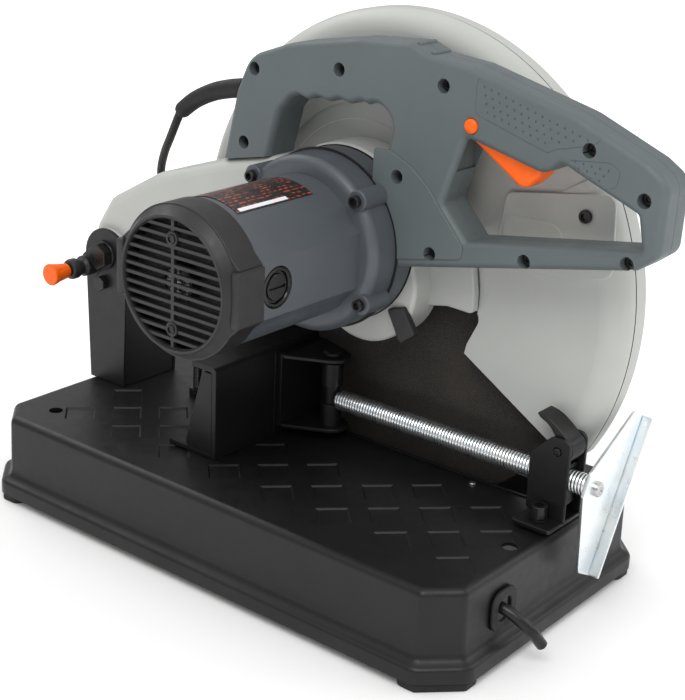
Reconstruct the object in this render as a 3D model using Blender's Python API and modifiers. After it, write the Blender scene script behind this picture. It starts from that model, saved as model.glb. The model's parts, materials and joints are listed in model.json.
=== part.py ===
"""Abrasive chop saw for a 355 mm wheel: pressed base, pivoting arm with motor and guards, quick-release vise.

Lengths are written in millimetres and built in metres. +Z is up, the operator stands at -Y, the motor is at -X.
The arm is modelled lowered. Places are measured from the middle of the base, on the floor.
"""

from math import cos, pi, radians, sin, sqrt

import bmesh
import bpy
from mathutils import Matrix, Vector

MM = 0.001
GAP = 0.3

# Where the middle of the base stands, so that the whole saw is centred on the origin.
BASE_PLACE = (17.25, 26.445, 0)

# Base pan
BASE_WIDTH = 249
BASE_LENGTH = 443
BASE_CHAMFER = 21.5
TABLE_Z = 70.5
PAN_FOOT_Z = 6.5
PAN_FLARE = 9
SHEET = 2.2
SLOT_X = (39.5, 66)
SLOT_Y = (-176, 80)
FOOT_HOLES = ((-91, 185), (91, 185), (-34, -208), (91, -185))

# Drive line: (y, z) of each shaft, all parallel to X
PIVOT = (203, 181)
SPINDLE = (-40, 211)
MOTOR = (-19, 242)
WHEEL_RADIUS = 177.5
WHEEL_X = (50.5, 53.5)
GEAR_TEETH, PINION_TEETH = 43, 7

# Arm, guard and motor places along X
ARM_X = (-13, 39)
EAR_IN = (-17.2, 37.2)
EAR_THICK = 3
HANDLE_X = (-12, 4, 20)
MOTOR_X = (-168, -138, -30, 8)
MOTOR_RADIUS = 51
LABEL_X = (-131, -56.5)
BRUSH_X = -121.5
GEARCASE_X = (8.3, 38)
GUARD_X = (38, 54, 68.5)
GUARD_RADIUS = 191
GUARD_SHEET = 2.5
GUARD_ROUND = 16
GUARD_SPAN = (-5, 188)
FRONT_RADIUS = 197
FRONT_X = (35.7, 71.2)
FRONT_SHEET = 2
FRONT_SPAN = (148, 211)

# Vise
SCREW = (23, 104)
SCREW_RADIUS = 8
SCREW_Y = (-236, -12)
JAW_PIN_Y = -4
FENCE_Y = 28.6
FENCE_X = (-73, 46)
FENCE_TOP = 144
BRACKET_Y = (-222, -191)
LEVER_PIN = (-212, 127)
JAW_Z = (79, 139)
CRANK_LEAN = -28

# Handle controls: (y, z)
TRIGGER_PIVOT = (-133, 334)
LOCK_BUTTON = (-138, 343.5)
LOCK_PIN = (220, 169.5)
EAR_BOLT = (205, 157)

# Depth stop under the arm, behind the fence: (x, y)
STOP = (14, 130)
STOP_RADIUS = 4

PARTS = "abrasive_chop_saw"


# ---------------------------------------------------------------- scene and materials

COLOURS = {
    "black_paint": ((0.012, 0.012, 0.013), 0.42, 0.0),
    "light_casting": ((0.52, 0.53, 0.52), 0.45, 0.1),
    "grey_plastic": ((0.10, 0.125, 0.14), 0.5, 0.0),
    "grey_casting": ((0.12, 0.14, 0.165), 0.42, 0.2),
    "black_plastic": ((0.02, 0.02, 0.022), 0.5, 0.0),
    "orange_plastic": ((1.0, 0.11, 0.01), 0.4, 0.0),
    "rubber": ((0.015, 0.015, 0.015), 0.8, 0.0),
    "zinc": ((0.72, 0.75, 0.78), 0.25, 1.0),
    "dark_steel": ((0.06, 0.06, 0.065), 0.35, 0.9),
    "steel": ((0.5, 0.5, 0.52), 0.3, 1.0),
    "copper": ((0.8, 0.35, 0.18), 0.35, 1.0),
    "abrasive": ((0.03, 0.028, 0.026), 0.9, 0.0),
    "label": ((0.03, 0.03, 0.03), 0.35, 0.0),
}


def clear_scene():
    for thing in list(bpy.data.objects):
        bpy.data.objects.remove(thing, do_unlink=True)


def make_collection(name, hidden=False):
    made = bpy.data.collections.new(name)
    bpy.context.scene.collection.children.link(made)
    made.hide_render = hidden
    return made


def make_material(name):
    colour, rough, metal = COLOURS[name]
    made = bpy.data.materials.new(name)
    made.use_nodes = True
    shader = made.node_tree.nodes["Principled BSDF"]
    shader.inputs["Base Color"].default_value = (*colour, 1)
    shader.inputs["Roughness"].default_value = rough
    shader.inputs["Metallic"].default_value = metal
    return made


clear_scene()
parts = make_collection(PARTS)
cutters = make_collection("cutters", hidden=True)
materials = {name: make_material(name) for name in COLOURS}
bodies = {}


def add_body(name, place, parent=None):
    """An empty on the body's joint axis; the pieces of the body are its children."""
    empty = bpy.data.objects.new("axis_" + name, None)
    empty.empty_display_size = 0.02
    parts.objects.link(empty)
    start = bodies[parent][1] if parent else Vector((0, 0, 0))
    empty.parent = bodies[parent][0] if parent else None
    here = Vector(place) * MM
    empty.location = here - start if parent else Vector(BASE_PLACE) * MM
    bodies[name] = (empty, here if parent else start)


# ---------------------------------------------------------------- shapes

AXES = {
    "X": Matrix(((0, 0, 1), (1, 0, 0), (0, 1, 0))),
    "Y": Matrix(((1, 0, 0), (0, 0, -1), (0, 1, 0))),
    "Z": Matrix(((1, 0, 0), (0, 1, 0), (0, 0, 1))),
}


def turn_to(axis):
    """Takes a shape drawn flat and raised along +Z to one raised along the axis; along Y it is raised to -Y."""
    return AXES[axis].to_4x4()


def to_object(bm, name, paint, body, smooth=None):
    bmesh.ops.recalc_face_normals(bm, faces=bm.faces)
    mesh = bpy.data.meshes.new(name)
    bm.to_mesh(mesh)
    bm.free()
    return place_mesh(mesh, name, paint, body, smooth)


def place_mesh(mesh, name, paint, body, smooth=None):
    thing = bpy.data.objects.new(name, mesh)
    empty, here = bodies[body]
    thing.parent = empty
    thing.location = -here
    if paint is None:
        cutters.objects.link(thing)
        thing.hide_render = True
        thing.display_type = "WIRE"
        return thing
    parts.objects.link(thing)
    mesh.materials.append(materials[paint])
    if smooth:
        mesh.shade_smooth()
        mesh.set_sharp_from_angle(angle=radians(smooth))
    return thing


def box(name, low, high, paint, body="base", bevel=0):
    bm = bmesh.new()
    size = [(b - a) * MM for a, b in zip(low, high)]
    middle = [(a + b) / 2 * MM for a, b in zip(low, high)]
    bmesh.ops.create_cube(bm, size=1, matrix=Matrix.Translation(middle) @ Matrix.Diagonal((*size, 1)))
    thing = to_object(bm, name, paint, body)
    if bevel:
        add_bevel(thing, bevel)
    return thing


def rod(name, place, axis, length, radius, paint, body="base", sides=24, top=None):
    """A cylinder, or a cone to the top radius, standing on the place and raised along the axis."""
    bm = bmesh.new()
    grow = Matrix.Translation(Vector(place) * MM) @ turn_to(axis) @ Matrix.Translation((0, 0, length * MM / 2))
    top = radius if top is None else top
    bmesh.ops.create_cone(bm, cap_ends=True, segments=sides, radius1=radius * MM, radius2=top * MM,
                          depth=length * MM, matrix=grow)
    return to_object(bm, name, paint, body, smooth=35)


def turned(name, profile, place, axis, paint, body="base", sides=24, closed=False):
    """Spins a profile of (radius, height) points about the axis through the place."""
    bm = bmesh.new()
    points = [bm.verts.new((r * MM, 0, h * MM)) for r, h in profile]
    pairs = list(zip(points, points[1:])) + ([(points[-1], points[0])] if closed else [])
    edges = [bm.edges.new(pair) for pair in pairs]
    bmesh.ops.spin(bm, geom=points + edges, cent=(0, 0, 0), axis=(0, 0, 1), angle=2 * pi, steps=sides)
    bmesh.ops.remove_doubles(bm, verts=bm.verts, dist=1e-6)
    bmesh.ops.transform(bm, matrix=Matrix.Translation(Vector(place) * MM) @ turn_to(axis), verts=bm.verts)
    return to_object(bm, name, paint, body, smooth=35)


def ring(name, inner, outer, place, axis, length, paint, body="base", sides=24):
    profile = ((outer, length), (outer, 0), (inner, 0), (inner, length))
    return turned(name, profile, place, axis, paint, body, sides, closed=True)


def swept(name, profile, centre, span, paint, body="arm", steps=24):
    """Sweeps a closed profile of (radius, x) points about the X axis through the centre, from angle to angle."""
    bm = bmesh.new()
    start, end = radians(span[0]), radians(span[1])
    y, z = centre
    ends = [bm.verts.new((x * MM, (y + r * cos(start)) * MM, (z + r * sin(start)) * MM)) for r, x in profile]
    face = bm.faces.new(ends)
    bmesh.ops.spin(bm, geom=[face, *face.edges, *face.verts], cent=(0, y * MM, z * MM), axis=(1, 0, 0),
                   angle=end - start, steps=steps)
    return to_object(bm, name, paint, body, smooth=30)


def circle(centre, radius, sides=24, start=0):
    return [(centre[0] + radius * cos(2 * pi * i / sides + start), centre[1] + radius * sin(2 * pi * i / sides + start))
            for i in range(sides)]


def arc(centre, radius, first, last, steps=8):
    angles = [radians(first + (last - first) * i / steps) for i in range(steps + 1)]
    return [(centre[0] + radius * cos(a), centre[1] + radius * sin(a)) for a in angles]


def rounded(corners, steps=2):
    """An outline whose corners (x, y, radius) are rounded with arcs."""
    outline = []
    for i, (x, y, radius) in enumerate(corners):
        here = Vector((x, y))
        before = (Vector(corners[i - 1][:2]) - here)
        after = (Vector(corners[(i + 1) % len(corners)][:2]) - here)
        if radius <= 0:
            outline.append((x, y))
            continue
        half = before.angle(after) / 2
        reach = min(radius / max(abs(sin(half) / cos(half)), 1e-6), before.length * 0.49, after.length * 0.49)
        radius = reach * sin(half) / cos(half)
        middle = here + (before.normalized() + after.normalized()).normalized() * (radius / sin(half))
        first = here + before.normalized() * reach - middle
        last = here + after.normalized() * reach - middle
        turn = first.angle_signed(last)
        for k in range(steps + 1):
            spoke = first.copy()
            spoke.rotate(Matrix.Rotation(-turn * k / steps, 2))
            outline.append(tuple(middle + spoke))
    return outline


def plate(name, outline, holes, low, high, axis, paint, body="base", bevel=0, smooth=30):
    """A flat outline with holes, raised along the axis from low to high. Outlines are (y, z), (x, z) or (x, y)."""
    curve = bpy.data.curves.new(name, "CURVE")
    curve.dimensions = "2D"
    curve.fill_mode = "BOTH"
    curve.extrude = (high - low) / 2 * MM
    for loop in (outline, *holes):
        spline = curve.splines.new("POLY")
        spline.points.add(len(loop) - 1)
        for point, (u, v) in zip(spline.points, loop):
            point.co = (u * MM, v * MM, 0, 1)
        spline.use_cyclic_u = True
    draft = bpy.data.objects.new(name, curve)
    cutters.objects.link(draft)
    graph = bpy.context.evaluated_depsgraph_get()
    mesh = bpy.data.meshes.new_from_object(draft.evaluated_get(graph))
    bpy.data.objects.remove(draft, do_unlink=True)
    bpy.data.curves.remove(curve)
    middle = (low + high) / 2 * MM
    shift = Matrix.Translation((0, 0, -middle if axis == "Y" else middle))
    bm = bmesh.new()
    bm.from_mesh(mesh)
    bpy.data.meshes.remove(mesh)
    bmesh.ops.remove_doubles(bm, verts=bm.verts, dist=1e-6)
    bmesh.ops.transform(bm, matrix=turn_to(axis) @ shift, verts=bm.verts)
    thing = to_object(bm, name, paint, body, smooth)
    if bevel:
        add_bevel(thing, bevel)
    return thing


def tube(name, points, radius, paint, body="base", sides=2):
    """A round bar along the points, with filled ends."""
    curve = bpy.data.curves.new(name, "CURVE")
    curve.dimensions = "3D"
    curve.bevel_depth = radius * MM
    curve.bevel_resolution = sides
    curve.use_fill_caps = True
    spline = curve.splines.new("POLY")
    spline.points.add(len(points) - 1)
    for point, place in zip(spline.points, points):
        point.co = (*(Vector(place) * MM), 1)
    draft = bpy.data.objects.new(name, curve)
    cutters.objects.link(draft)
    graph = bpy.context.evaluated_depsgraph_get()
    mesh = bpy.data.meshes.new_from_object(draft.evaluated_get(graph))
    bpy.data.objects.remove(draft, do_unlink=True)
    bpy.data.curves.remove(curve)
    bm = bmesh.new()
    bm.from_mesh(mesh)
    bpy.data.meshes.remove(mesh)
    bmesh.ops.remove_doubles(bm, verts=bm.verts, dist=1e-6)
    return to_object(bm, name, paint, body, smooth=40)


def smooth_path(corners, steps=6):
    """Points along a Catmull-Rom curve through the corners."""
    ends = [2 * Vector(corners[0]) - Vector(corners[1]), *map(Vector, corners),
            2 * Vector(corners[-1]) - Vector(corners[-2])]
    path = []
    for a, b, c, d in zip(ends, ends[1:], ends[2:], ends[3:]):
        for k in range(steps):
            t = k / steps
            path.append(0.5 * (2 * b + (c - a) * t + (2 * a - 5 * b + 4 * c - d) * t * t
                               + (3 * b - a - 3 * c + d) * t ** 3))
    return path + [ends[-2]]


def add_bevel(thing, width, segments=1, angle=50):
    bevel = thing.modifiers.new("round", "BEVEL")
    bevel.width = width * MM
    bevel.segments = segments
    bevel.limit_method = "ANGLE"
    bevel.angle_limit = radians(angle)


def combine(thing, other, operation="DIFFERENCE"):
    step = thing.modifiers.new(operation.lower(), "BOOLEAN")
    step.operation = operation
    step.object = other
    return thing


def cut_rod(thing, place, axis, length, radius, body="base", sides=24):
    return combine(thing, rod(thing.name + "_bore", place, axis, length, radius, None, body, sides))


def cut_box(thing, low, high, body="base"):
    return combine(thing, box(thing.name + "_notch", low, high, None, body))


def hexagon(across):
    return circle((0, 0), across / sqrt(3), 6)


def shifted(outline, u, v):
    return [(a + u, b + v) for a, b in outline]


def bolt(name, place, axis, head, across, shank, radius, paint, body="base", up=1):
    """A hexagon bolt in one turned-and-hexed piece: the head grows from the place, the shank goes the other way."""
    bm = bmesh.new()
    make = bmesh.ops.create_cone
    grow = Matrix.Translation(Vector(place) * MM) @ turn_to(axis) @ Matrix.Diagonal((1, 1, up, 1))
    make(bm, cap_ends=True, segments=6, radius1=across / sqrt(3) * MM, radius2=across / sqrt(3) * MM * 0.96,
         depth=head * MM, matrix=grow @ Matrix.Translation((0, 0, head * MM / 2)))
    thing = to_object(bm, name, paint, body, smooth=30)
    if shank:
        start = Vector(place) + AXES[axis] @ Vector((0, 0, -shank if up > 0 else -0.5 * head))
        stem = rod(name + "_shank", start, axis, shank + 0.5 * head, radius, None, body, 12)
        combine(thing, stem, "UNION")
    return thing


# ---------------------------------------------------------------- base

def pan_outline(grow):
    """The base's plan, with cut corners, moved outward by grow."""
    w, l = BASE_WIDTH / 2 + grow, BASE_LENGTH / 2 + grow
    c = BASE_CHAMFER + grow * (2 - sqrt(2))
    r = 5 + max(grow, 0)
    corners = [(w, -l + c, r), (w, l - c, r), (w - c, l, r), (-w + c, l, r), (-w, l - c, r), (-w, -l + c, r),
               (-w + c, -l, r), (w - c, -l, r)]
    return rounded(corners, 2)


def make_pan():
    """The top face and the walls as one open sheet, thickened inward."""
    top_round = [(-4.6, TABLE_Z), (-1.6, 69.2), (0, 65.2)]
    flare = [(0.8, 25.0), (3.4, 19.6), (PAN_FLARE, 16.4), (PAN_FLARE, PAN_FOOT_Z)]
    bm = bmesh.new()
    loops = []
    for grow, z in top_round + flare:
        loops.append([bm.verts.new((x * MM, y * MM, z * MM)) for x, y in pan_outline(grow)])
    bm.faces.new(loops[0])
    for upper, lower in zip(loops, loops[1:]):
        for i, (a, b) in enumerate(zip(upper, lower)):
            bm.faces.new((upper[i - 1], a, b, lower[i - 1]))
    pan = to_object(bm, "base_pan", "black_paint", "base", smooth=30)
    sheet = pan.modifiers.new("sheet", "SOLIDIFY")
    sheet.thickness = SHEET * MM
    sheet.offset = -1
    slot = rounded([(SLOT_X[0], SLOT_Y[0], 4), (SLOT_X[1], SLOT_Y[0], 4), (SLOT_X[1], SLOT_Y[1], 4),
                    (SLOT_X[0], SLOT_Y[1], 4)], 2)
    combine(pan, plate("wheel_slot", slot, [], TABLE_Z - 8, TABLE_Z + 8, "Z", None))
    for x, y in FOOT_HOLES:
        cut_rod(pan, (x, y, TABLE_Z - 8), "Z", 16, 5.5, sides=16)
    store = rounded([(-73, 29, 8), (-50, 29, 8), (-50, 53, 8), (-73, 53, 8)], 3)
    combine(pan, plate("wrench_slot", store, [], -BASE_LENGTH / 2 - 8, -BASE_LENGTH / 2 + 8, "Y", None))


def make_feet():
    """Rubber corner feet under the pan's rim."""
    w, l, c = BASE_WIDTH / 2 + 7, BASE_LENGTH / 2 + 7, BASE_CHAMFER + 3
    for name, sx, sy in (("front_left", -1, -1), ("front_right", 1, -1), ("rear_left", -1, 1), ("rear_right", 1, 1)):
        corners = [(w, l - c - 14, 7), (w, l - c, 4), (w - c, l, 4), (w - c - 14, l, 7), (w - c - 22, l - 14, 6),
                   (w - 14, l - c - 22, 6)]
        outline = rounded([(x * sx, y * sy, r) for x, y, r in corners], 3)
        plate("foot_" + name, outline, [], 0, PAN_FOOT_Z - GAP, "Z", "rubber", bevel=0.8)


def make_pivot_bracket():
    """A folded channel: a web across the table and two ears that carry the arm's pivot."""
    low, high = EAR_IN[0] - EAR_THICK, EAR_IN[1] + EAR_THICK
    foot = TABLE_Z + GAP
    ear = [(182, foot), (222, foot), *arc((202, 179), 24, 0, 180, 10)]
    bore = circle(PIVOT, 8.4, 20)
    bracket = plate("pivot_bracket", ear, [bore, circle(EAR_BOLT, 3.4, 12)], low, EAR_IN[0], "X", "black_paint")
    lug = rounded([(214, 157, 3), (231, 157, 7), (231, 182, 7), (214, 182, 3)])
    others = (plate("bracket_right_ear", ear, [bore], EAR_IN[1], high, "X", None),
              box("bracket_web", (low + 0.1, 182.1, foot + 0.1), (high - 0.1, 185, 148), None),
              box("bracket_floor", (low + 0.2, 183, foot), (high - 0.2, 219, foot + 3), None),
              plate("bracket_lug", lug, [circle(LOCK_PIN, 6.4, 16)], low + 0.1, EAR_IN[0] - 0.1, "X", None))
    for other in others:
        combine(bracket, other, "UNION")
    cut_rod(bracket, (low - 2, *LOCK_PIN), "X", 8, 6.4, sides=16)


def make_pivot():
    """The pivot bolt, its nut, and the torsion spring that lifts the arm."""
    left, right = EAR_IN[0] - EAR_THICK - GAP, EAR_IN[1] + EAR_THICK + GAP
    bolt("pivot_bolt", (left, *PIVOT), "X", 9, 18.5, right - left + 10, 8, "dark_steel", up=-1)
    plate("pivot_nut", shifted(hexagon(22), *PIVOT), [circle(PIVOT, 8.3, 20)], right, right + 8, "X", "dark_steel",
          bevel=0.6)
    turns, wire, radius, pitch, steps = 4, 1.8, 12.5, 4.2, 10
    angles = [2 * pi * i / steps for i in range(turns * steps + 1)]
    coil = [(0.6 + pitch * a / (2 * pi), PIVOT[0] + radius * cos(a), PIVOT[1] + radius * sin(a)) for a in angles]
    tube("return_spring", coil, wire, "steel", sides=1)


def make_lock_pin():
    """A sprung pin in a sleeve, which can hold the arm down for carrying. It is modelled clear of the arm."""
    ear = EAR_IN[0] - EAR_THICK
    sleeve, reach = 24, 34
    ring("lock_pin_sleeve", 4.3, 8.5, (ear - sleeve, *LOCK_PIN), "X", sleeve - GAP, "black_plastic")
    rod("lock_pin", (ear - reach, *LOCK_PIN), "X", reach + EAR_THICK - 0.5, 4, "zinc", "lock_pin", 16)
    knob = [(0, 0), (8.4, 0), (9, 1.2), (6, 18), (4.3, 18), (4.3, 9), (0, 9)]
    turned("lock_knob", knob, (ear - reach - 10, *LOCK_PIN), "X", "orange_plastic", "lock_pin", 24)


def make_fence():
    """A steel angle with a top lip and an end gusset, bolted to the table."""
    y, z = FENCE_Y, TABLE_Z + GAP
    section = [(y, z), (y + 48, z), (y + 48, z + 4), (y + 4, z + 4), (y + 4, FENCE_TOP - 4), (y + 15, FENCE_TOP - 4),
               (y + 15, FENCE_TOP), (y, FENCE_TOP)]
    fence = plate("fence", section, [], FENCE_X[0], FENCE_X[1], "X", "black_paint")
    brace = plate("fence_brace", [(y + 0.01, z), (y + 32, z), (y + 0.01, z + 56)], [], FENCE_X[0] + 0.01,
                  FENCE_X[0] + 3, "X", None)
    combine(fence, brace, "UNION")
    for x in (-40, 14):
        cut_rod(fence, (x, y + 30, z - 5), "Z", 16, 5, sides=16)
    bolt("fence_bolt", (-40, y + 30, z + 4 + GAP), "Z", 6, 15, 3.6, 4.5, "dark_steel")


# ---------------------------------------------------------------- vise

def make_vise_bracket():
    """Two cheeks on feet, folded from one sheet, that carry the screw and its release lever."""
    x, z = SCREW
    y0, y1 = BRACKET_Y
    foot = TABLE_Z + GAP + 6
    cheek = rounded([(y1, TABLE_Z + GAP, 0), (y1, 121, 4), (-207, 137, 5), (y0, 137, 4), (y0, TABLE_Z + GAP, 0)], 2)
    hole = circle(LEVER_PIN, 3.3, 12)
    left = plate("vise_bracket", cheek, [hole], x - 12.3, x - 9.3, "X", "black_paint")
    right = plate("bracket_right_cheek", cheek, [circle(LEVER_PIN, 3.3, 12)], x + 9.3, x + 12.3, "X", None)
    floor = box("vise_floor", (x - 31, y0 + 0.01, TABLE_Z + GAP), (x + 31, y1 - 0.01, foot), None)
    bridge = box("vise_bridge", (x - 12.2, y0 + 4, z - 19), (x + 12.2, y1 - 4, z + 12), None)
    for other in (right, floor, bridge):
        combine(left, other, "UNION")
    cut_rod(left, (x, y1 + 10, z), "Y", 60, SCREW_RADIUS + 0.5)
    for name, side in (("left", -1), ("right", 1)):
        spot = (x + 19.5 * side, (y0 + y1) / 2)
        cut_rod(left, (*spot, TABLE_Z - 4), "Z", 16, 4.6, sides=16)
        bolt("vise_bolt_" + name, (*spot, foot + GAP), "Z", 11, 11.5, 5.5, 4.2, "dark_steel")


def make_release_lever():
    """The curved lever whose threaded cam drops onto the screw."""
    y, z = LEVER_PIN
    outline = rounded([(y + 6, z - 8, 3), (y + 5, z + 4, 4), (y + 4, z + 9, 6), (y + 18.5, z + 19, 1),
                       (y + 20, z + 23, 1), (y + 5, z + 18, 14), (y - 8.5, z + 7, 8), (y - 10.4, z - 2, 4),
                       (y - 8, z - 8, 3)], 3)
    x = SCREW[0]
    plate("release_lever", outline, [circle(LEVER_PIN, 3.3, 12)], x - 9, x + 9, "X", "black_paint", "lever", bevel=1)
    rod("lever_pin", (x - 13, *LEVER_PIN), "X", 25.3, 3, "zinc", "base", 12)


def make_vise_screw():
    """The screw turns in the jaw's pin; the crank is riveted to its front end and leans."""
    x, z = SCREW
    front, tip = SCREW_Y
    rod("vise_screw", (x, tip, z), "Y", tip - front, SCREW_RADIUS, "zinc", "screw", 24)
    lean = Matrix.Rotation(radians(CRANK_LEAN), 2)

    def leaned(outline):
        return [(*(lean @ Vector((u, v)) + Vector(SCREW)), *rest) for u, v, *rest in outline]

    web = leaned([(-15.5, -8.5, 5), (14, -56, 3), (16, -59, 1), (35, -59, 1), (35, 60, 1), (19, 60, 3), (-15.5, 8.5, 5)])
    crank = plate("crank_handle", rounded(web), [], front - 2.8, front - GAP, "Y", "zinc", "screw")
    lip = leaned([(32.6, -58.9), (35, -58.9), (35, 59.9), (32.6, 59.9)])
    combine(crank, plate("crank_lip", lip, [], front - 10, front - 2 * GAP, "Y", None, "screw"), "UNION")


def make_jaw():
    """A channel-shaped jaw on an upright pin, pushed by the screw."""
    x = SCREW[0]
    low, high = JAW_Z
    back = FENCE_Y - 1
    plan = rounded([(-4.9, back - 0.1, 0), (45.9, back - 0.1, 0), (45.9, back - 6, 3), (x + 11, JAW_PIN_Y - 10, 6),
                    (x - 11, JAW_PIN_Y - 10, 6), (-4.9, back - 6, 3)])
    jaw = box("vise_jaw", (-5, back - 4, low), (46, back, high), "black_paint", "jaw")
    hole = circle((x, JAW_PIN_Y), 6.4, 20)
    for name, z in (("jaw_lower_flange", low + 0.1), ("jaw_upper_flange", high - 3.1)):
        combine(jaw, plate(name, plan, [hole], z, z + 3, "Z", None, "jaw"), "UNION")
    pin = [(0, high + 3), (7.5, high + 3), (7.5, high + GAP), (6.1, high + GAP), (6.1, low - 3), (0, low - 3)]
    turned("jaw_pin", pin, (x, JAW_PIN_Y, 0), "Z", "dark_steel", "jaw", 20)


def make_storage():
    """A rubber-lipped slot in the front wall that holds the wheel wrench."""
    y = -BASE_LENGTH / 2
    outer = rounded([(-76, 26, 10), (-47, 26, 10), (-47, 56, 10), (-76, 56, 10)], 4)
    inner = rounded([(-69, 33, 5), (-54, 33, 5), (-54, 49, 5), (-69, 49, 5)], 4)
    plate("wrench_grommet", outer, [inner], y - 3.6, y - 1.1, "Y", "rubber", bevel=0.8)
    path = smooth_path([(-61.5, y + 40, 41), (-61.5, y + 8, 41), (-61.5, y - 6, 40), (-56, y - 20, 30),
                        (-47, y - 26, 16)], 4)
    tube("wheel_wrench", path, 4.2, "dark_steel")


# ---------------------------------------------------------------- arm, gearcase and guards

def make_arm_casting():
    """The light casting: pivot hub, arm, gearcase and the near half of the wheel guard."""
    beam = rounded([(224, 176, 6), (224, 200, 20), (206, 227, 14), (153, 257, 30), (82, 281, 0), (46, 289, 0),
                    (15, 297, 10), (-19, 305, 0), (-19, 200, 0), (60, 186, 10), (120, 188, 20), (165, 184, 14),
                    (186, 162, 8)])
    bore = circle(PIVOT, 8.5, 24)
    arm = plate("arm_casting", beam, [bore], ARM_X[0], ARM_X[1], "X", "light_casting", "arm")
    low, high = GEARCASE_X
    grown = (plate("arm_hub", circle(PIVOT, 21, 32), [bore], EAR_IN[0] + GAP, EAR_IN[1] - GAP, "X", None, "arm"),
             plate("gearcase_upper", circle(MOTOR, 66, 36), [], low, high + 1.3, "X", None, "arm"),
             plate("gearcase_lower", circle(SPINDLE, 47, 28), [], low + 0.4, high + 1.7, "X", None, "arm"),
             near_guard())
    for other in grown:
        combine(arm, other, "UNION")
    combine(arm, plate("gear_cavity", circle(SPINDLE, 38, 24), [], -20, 33, "X", None, "arm"))
    combine(arm, plate("pinion_cavity", circle(MOTOR, 40, 24), [], -20, 31, "X", None, "arm"))
    cut_rod(arm, (20, *SPINDLE), "X", 40, 16.3, "arm")
    cut_box(arm, (-8, 68, 176), (31, 172, 250), "arm")
    x, y = STOP
    combine(arm, box("stop_post", (x - 8, y - 8, 165), (x + 8, y + 8, 252), None, "arm"), "UNION")
    cut_rod(arm, (x, y, 160), "Z", 50, STOP_RADIUS + GAP, "arm", 12)
    combine(arm, plate("spring_room", circle(PIVOT, 16, 24), [], -2, 22, "X", None, "arm"))
    cut_box(arm, (EAR_IN[1] - 2 * GAP, 172, 150), (45, 232, 232), "arm")
    combine(arm, plate("motor_seat", circle(MOTOR, 67, 36), [], -40, MOTOR_X[3] + GAP, "X", None, "arm"))


def near_guard():
    """The near half of the fixed guard: a wall that rounds over into the rim."""
    x0, x1, _ = GUARD_X
    r, t, k = GUARD_RADIUS, GUARD_SHEET, GUARD_ROUND
    outside = arc((x1, r - k), k, 180, 90, 3)
    inside = arc((x1, r - k), k - t, 90, 180, 3)
    profile = [(30, x0), *((b, a) for a, b in outside + inside), (30, x0 + t)]
    return swept("near_guard", profile, SPINDLE, GUARD_SPAN, None)


def make_guard_cover():
    """The far half of the fixed guard, screwed to the near half."""
    _, x1, x2 = GUARD_X
    r, t = GUARD_RADIUS, GUARD_SHEET
    profile = [(30, x2 - t), (r - t, x2 - t), (r - t, x1 + GAP), (r, x1 + GAP), (r, x2 - 1), (r - 1, x2), (30, x2)]
    cover = swept("guard_cover", profile, SPINDLE, GUARD_SPAN, "light_casting")
    disc = [(0, x2 + 4.5), (17, x2 + 4.5), (17, x2), (38, x2), (38, x2 - t), (0, x2 - t)]
    combine(cover, turned("cover_boss", disc, (0, *SPINDLE), "X", None, "arm", 36), "UNION")


def make_front_guard():
    """The swinging guard over the wheel's front, hung on the far cover's boss."""
    near, far = FRONT_X
    r, t, k = FRONT_RADIUS, FRONT_SHEET, GUARD_ROUND
    outside = [(b, a) for a, b in arc((near + k, r - k), k, 180, 90, 3)]
    inside = [(b, a) for a, b in arc((near + k, r - k), k - t, 90, 180, 3)]
    profile = [(84, near), *outside, (r, far - 1), (r - 1, far), (30, far), (30, far - t), (r - t, far - t), *inside,
               (84, near + t)]
    guard = swept("front_guard", profile, SPINDLE, FRONT_SPAN, "light_casting", "front_guard", 10)
    hub = plate("front_guard_hub", circle(SPINDLE, 34, 36), [circle(SPINDLE, 17.4, 32)], far - t, far - 0.1, "X",
                None, "front_guard")
    combine(guard, hub, "UNION")
    ring("guard_retainer", 17.3, 22, (far + GAP, *SPINDLE), "X", 2, "dark_steel", "arm")


def make_gear_housing():
    """The dark casting between motor and arm, with the fan inside and ears for its four bolts."""
    _, _, low, high = MOTOR_X
    housing = plate("gear_housing", circle(MOTOR, 64, 36), [], low, high, "X", "grey_casting", "arm")
    for i, (y, z) in enumerate(arc(MOTOR, 59, 46, 316, 3)):
        combine(housing, rod(f"housing_ear_{i}", (low + 0.1, y, z), "X", 16, 9, None, "arm", 14), "UNION")
    combine(housing, plate("fan_chamber", circle(MOTOR, 56, 28), [], low - 5, high - 6, "X", None, "arm"))
    cut_rod(housing, (high - 20, *SPINDLE), "X", 40, 10.3, "arm")
    cut_rod(housing, (high - 20, *MOTOR), "X", 40, 13.3, "arm")


def motor_outline(radius):
    """Round above and below, with an upright flat panel on the front and the rear, as far out as the radius."""
    y, z = MOTOR
    top, bottom = arc(MOTOR, radius, 30, 150, 10), arc(MOTOR, radius, 210, 330, 10)
    return [(y + radius, z + 20), *top, (y - radius, z + 20), (y - radius, z - 20), *bottom, (y + radius, z - 20)]


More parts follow.
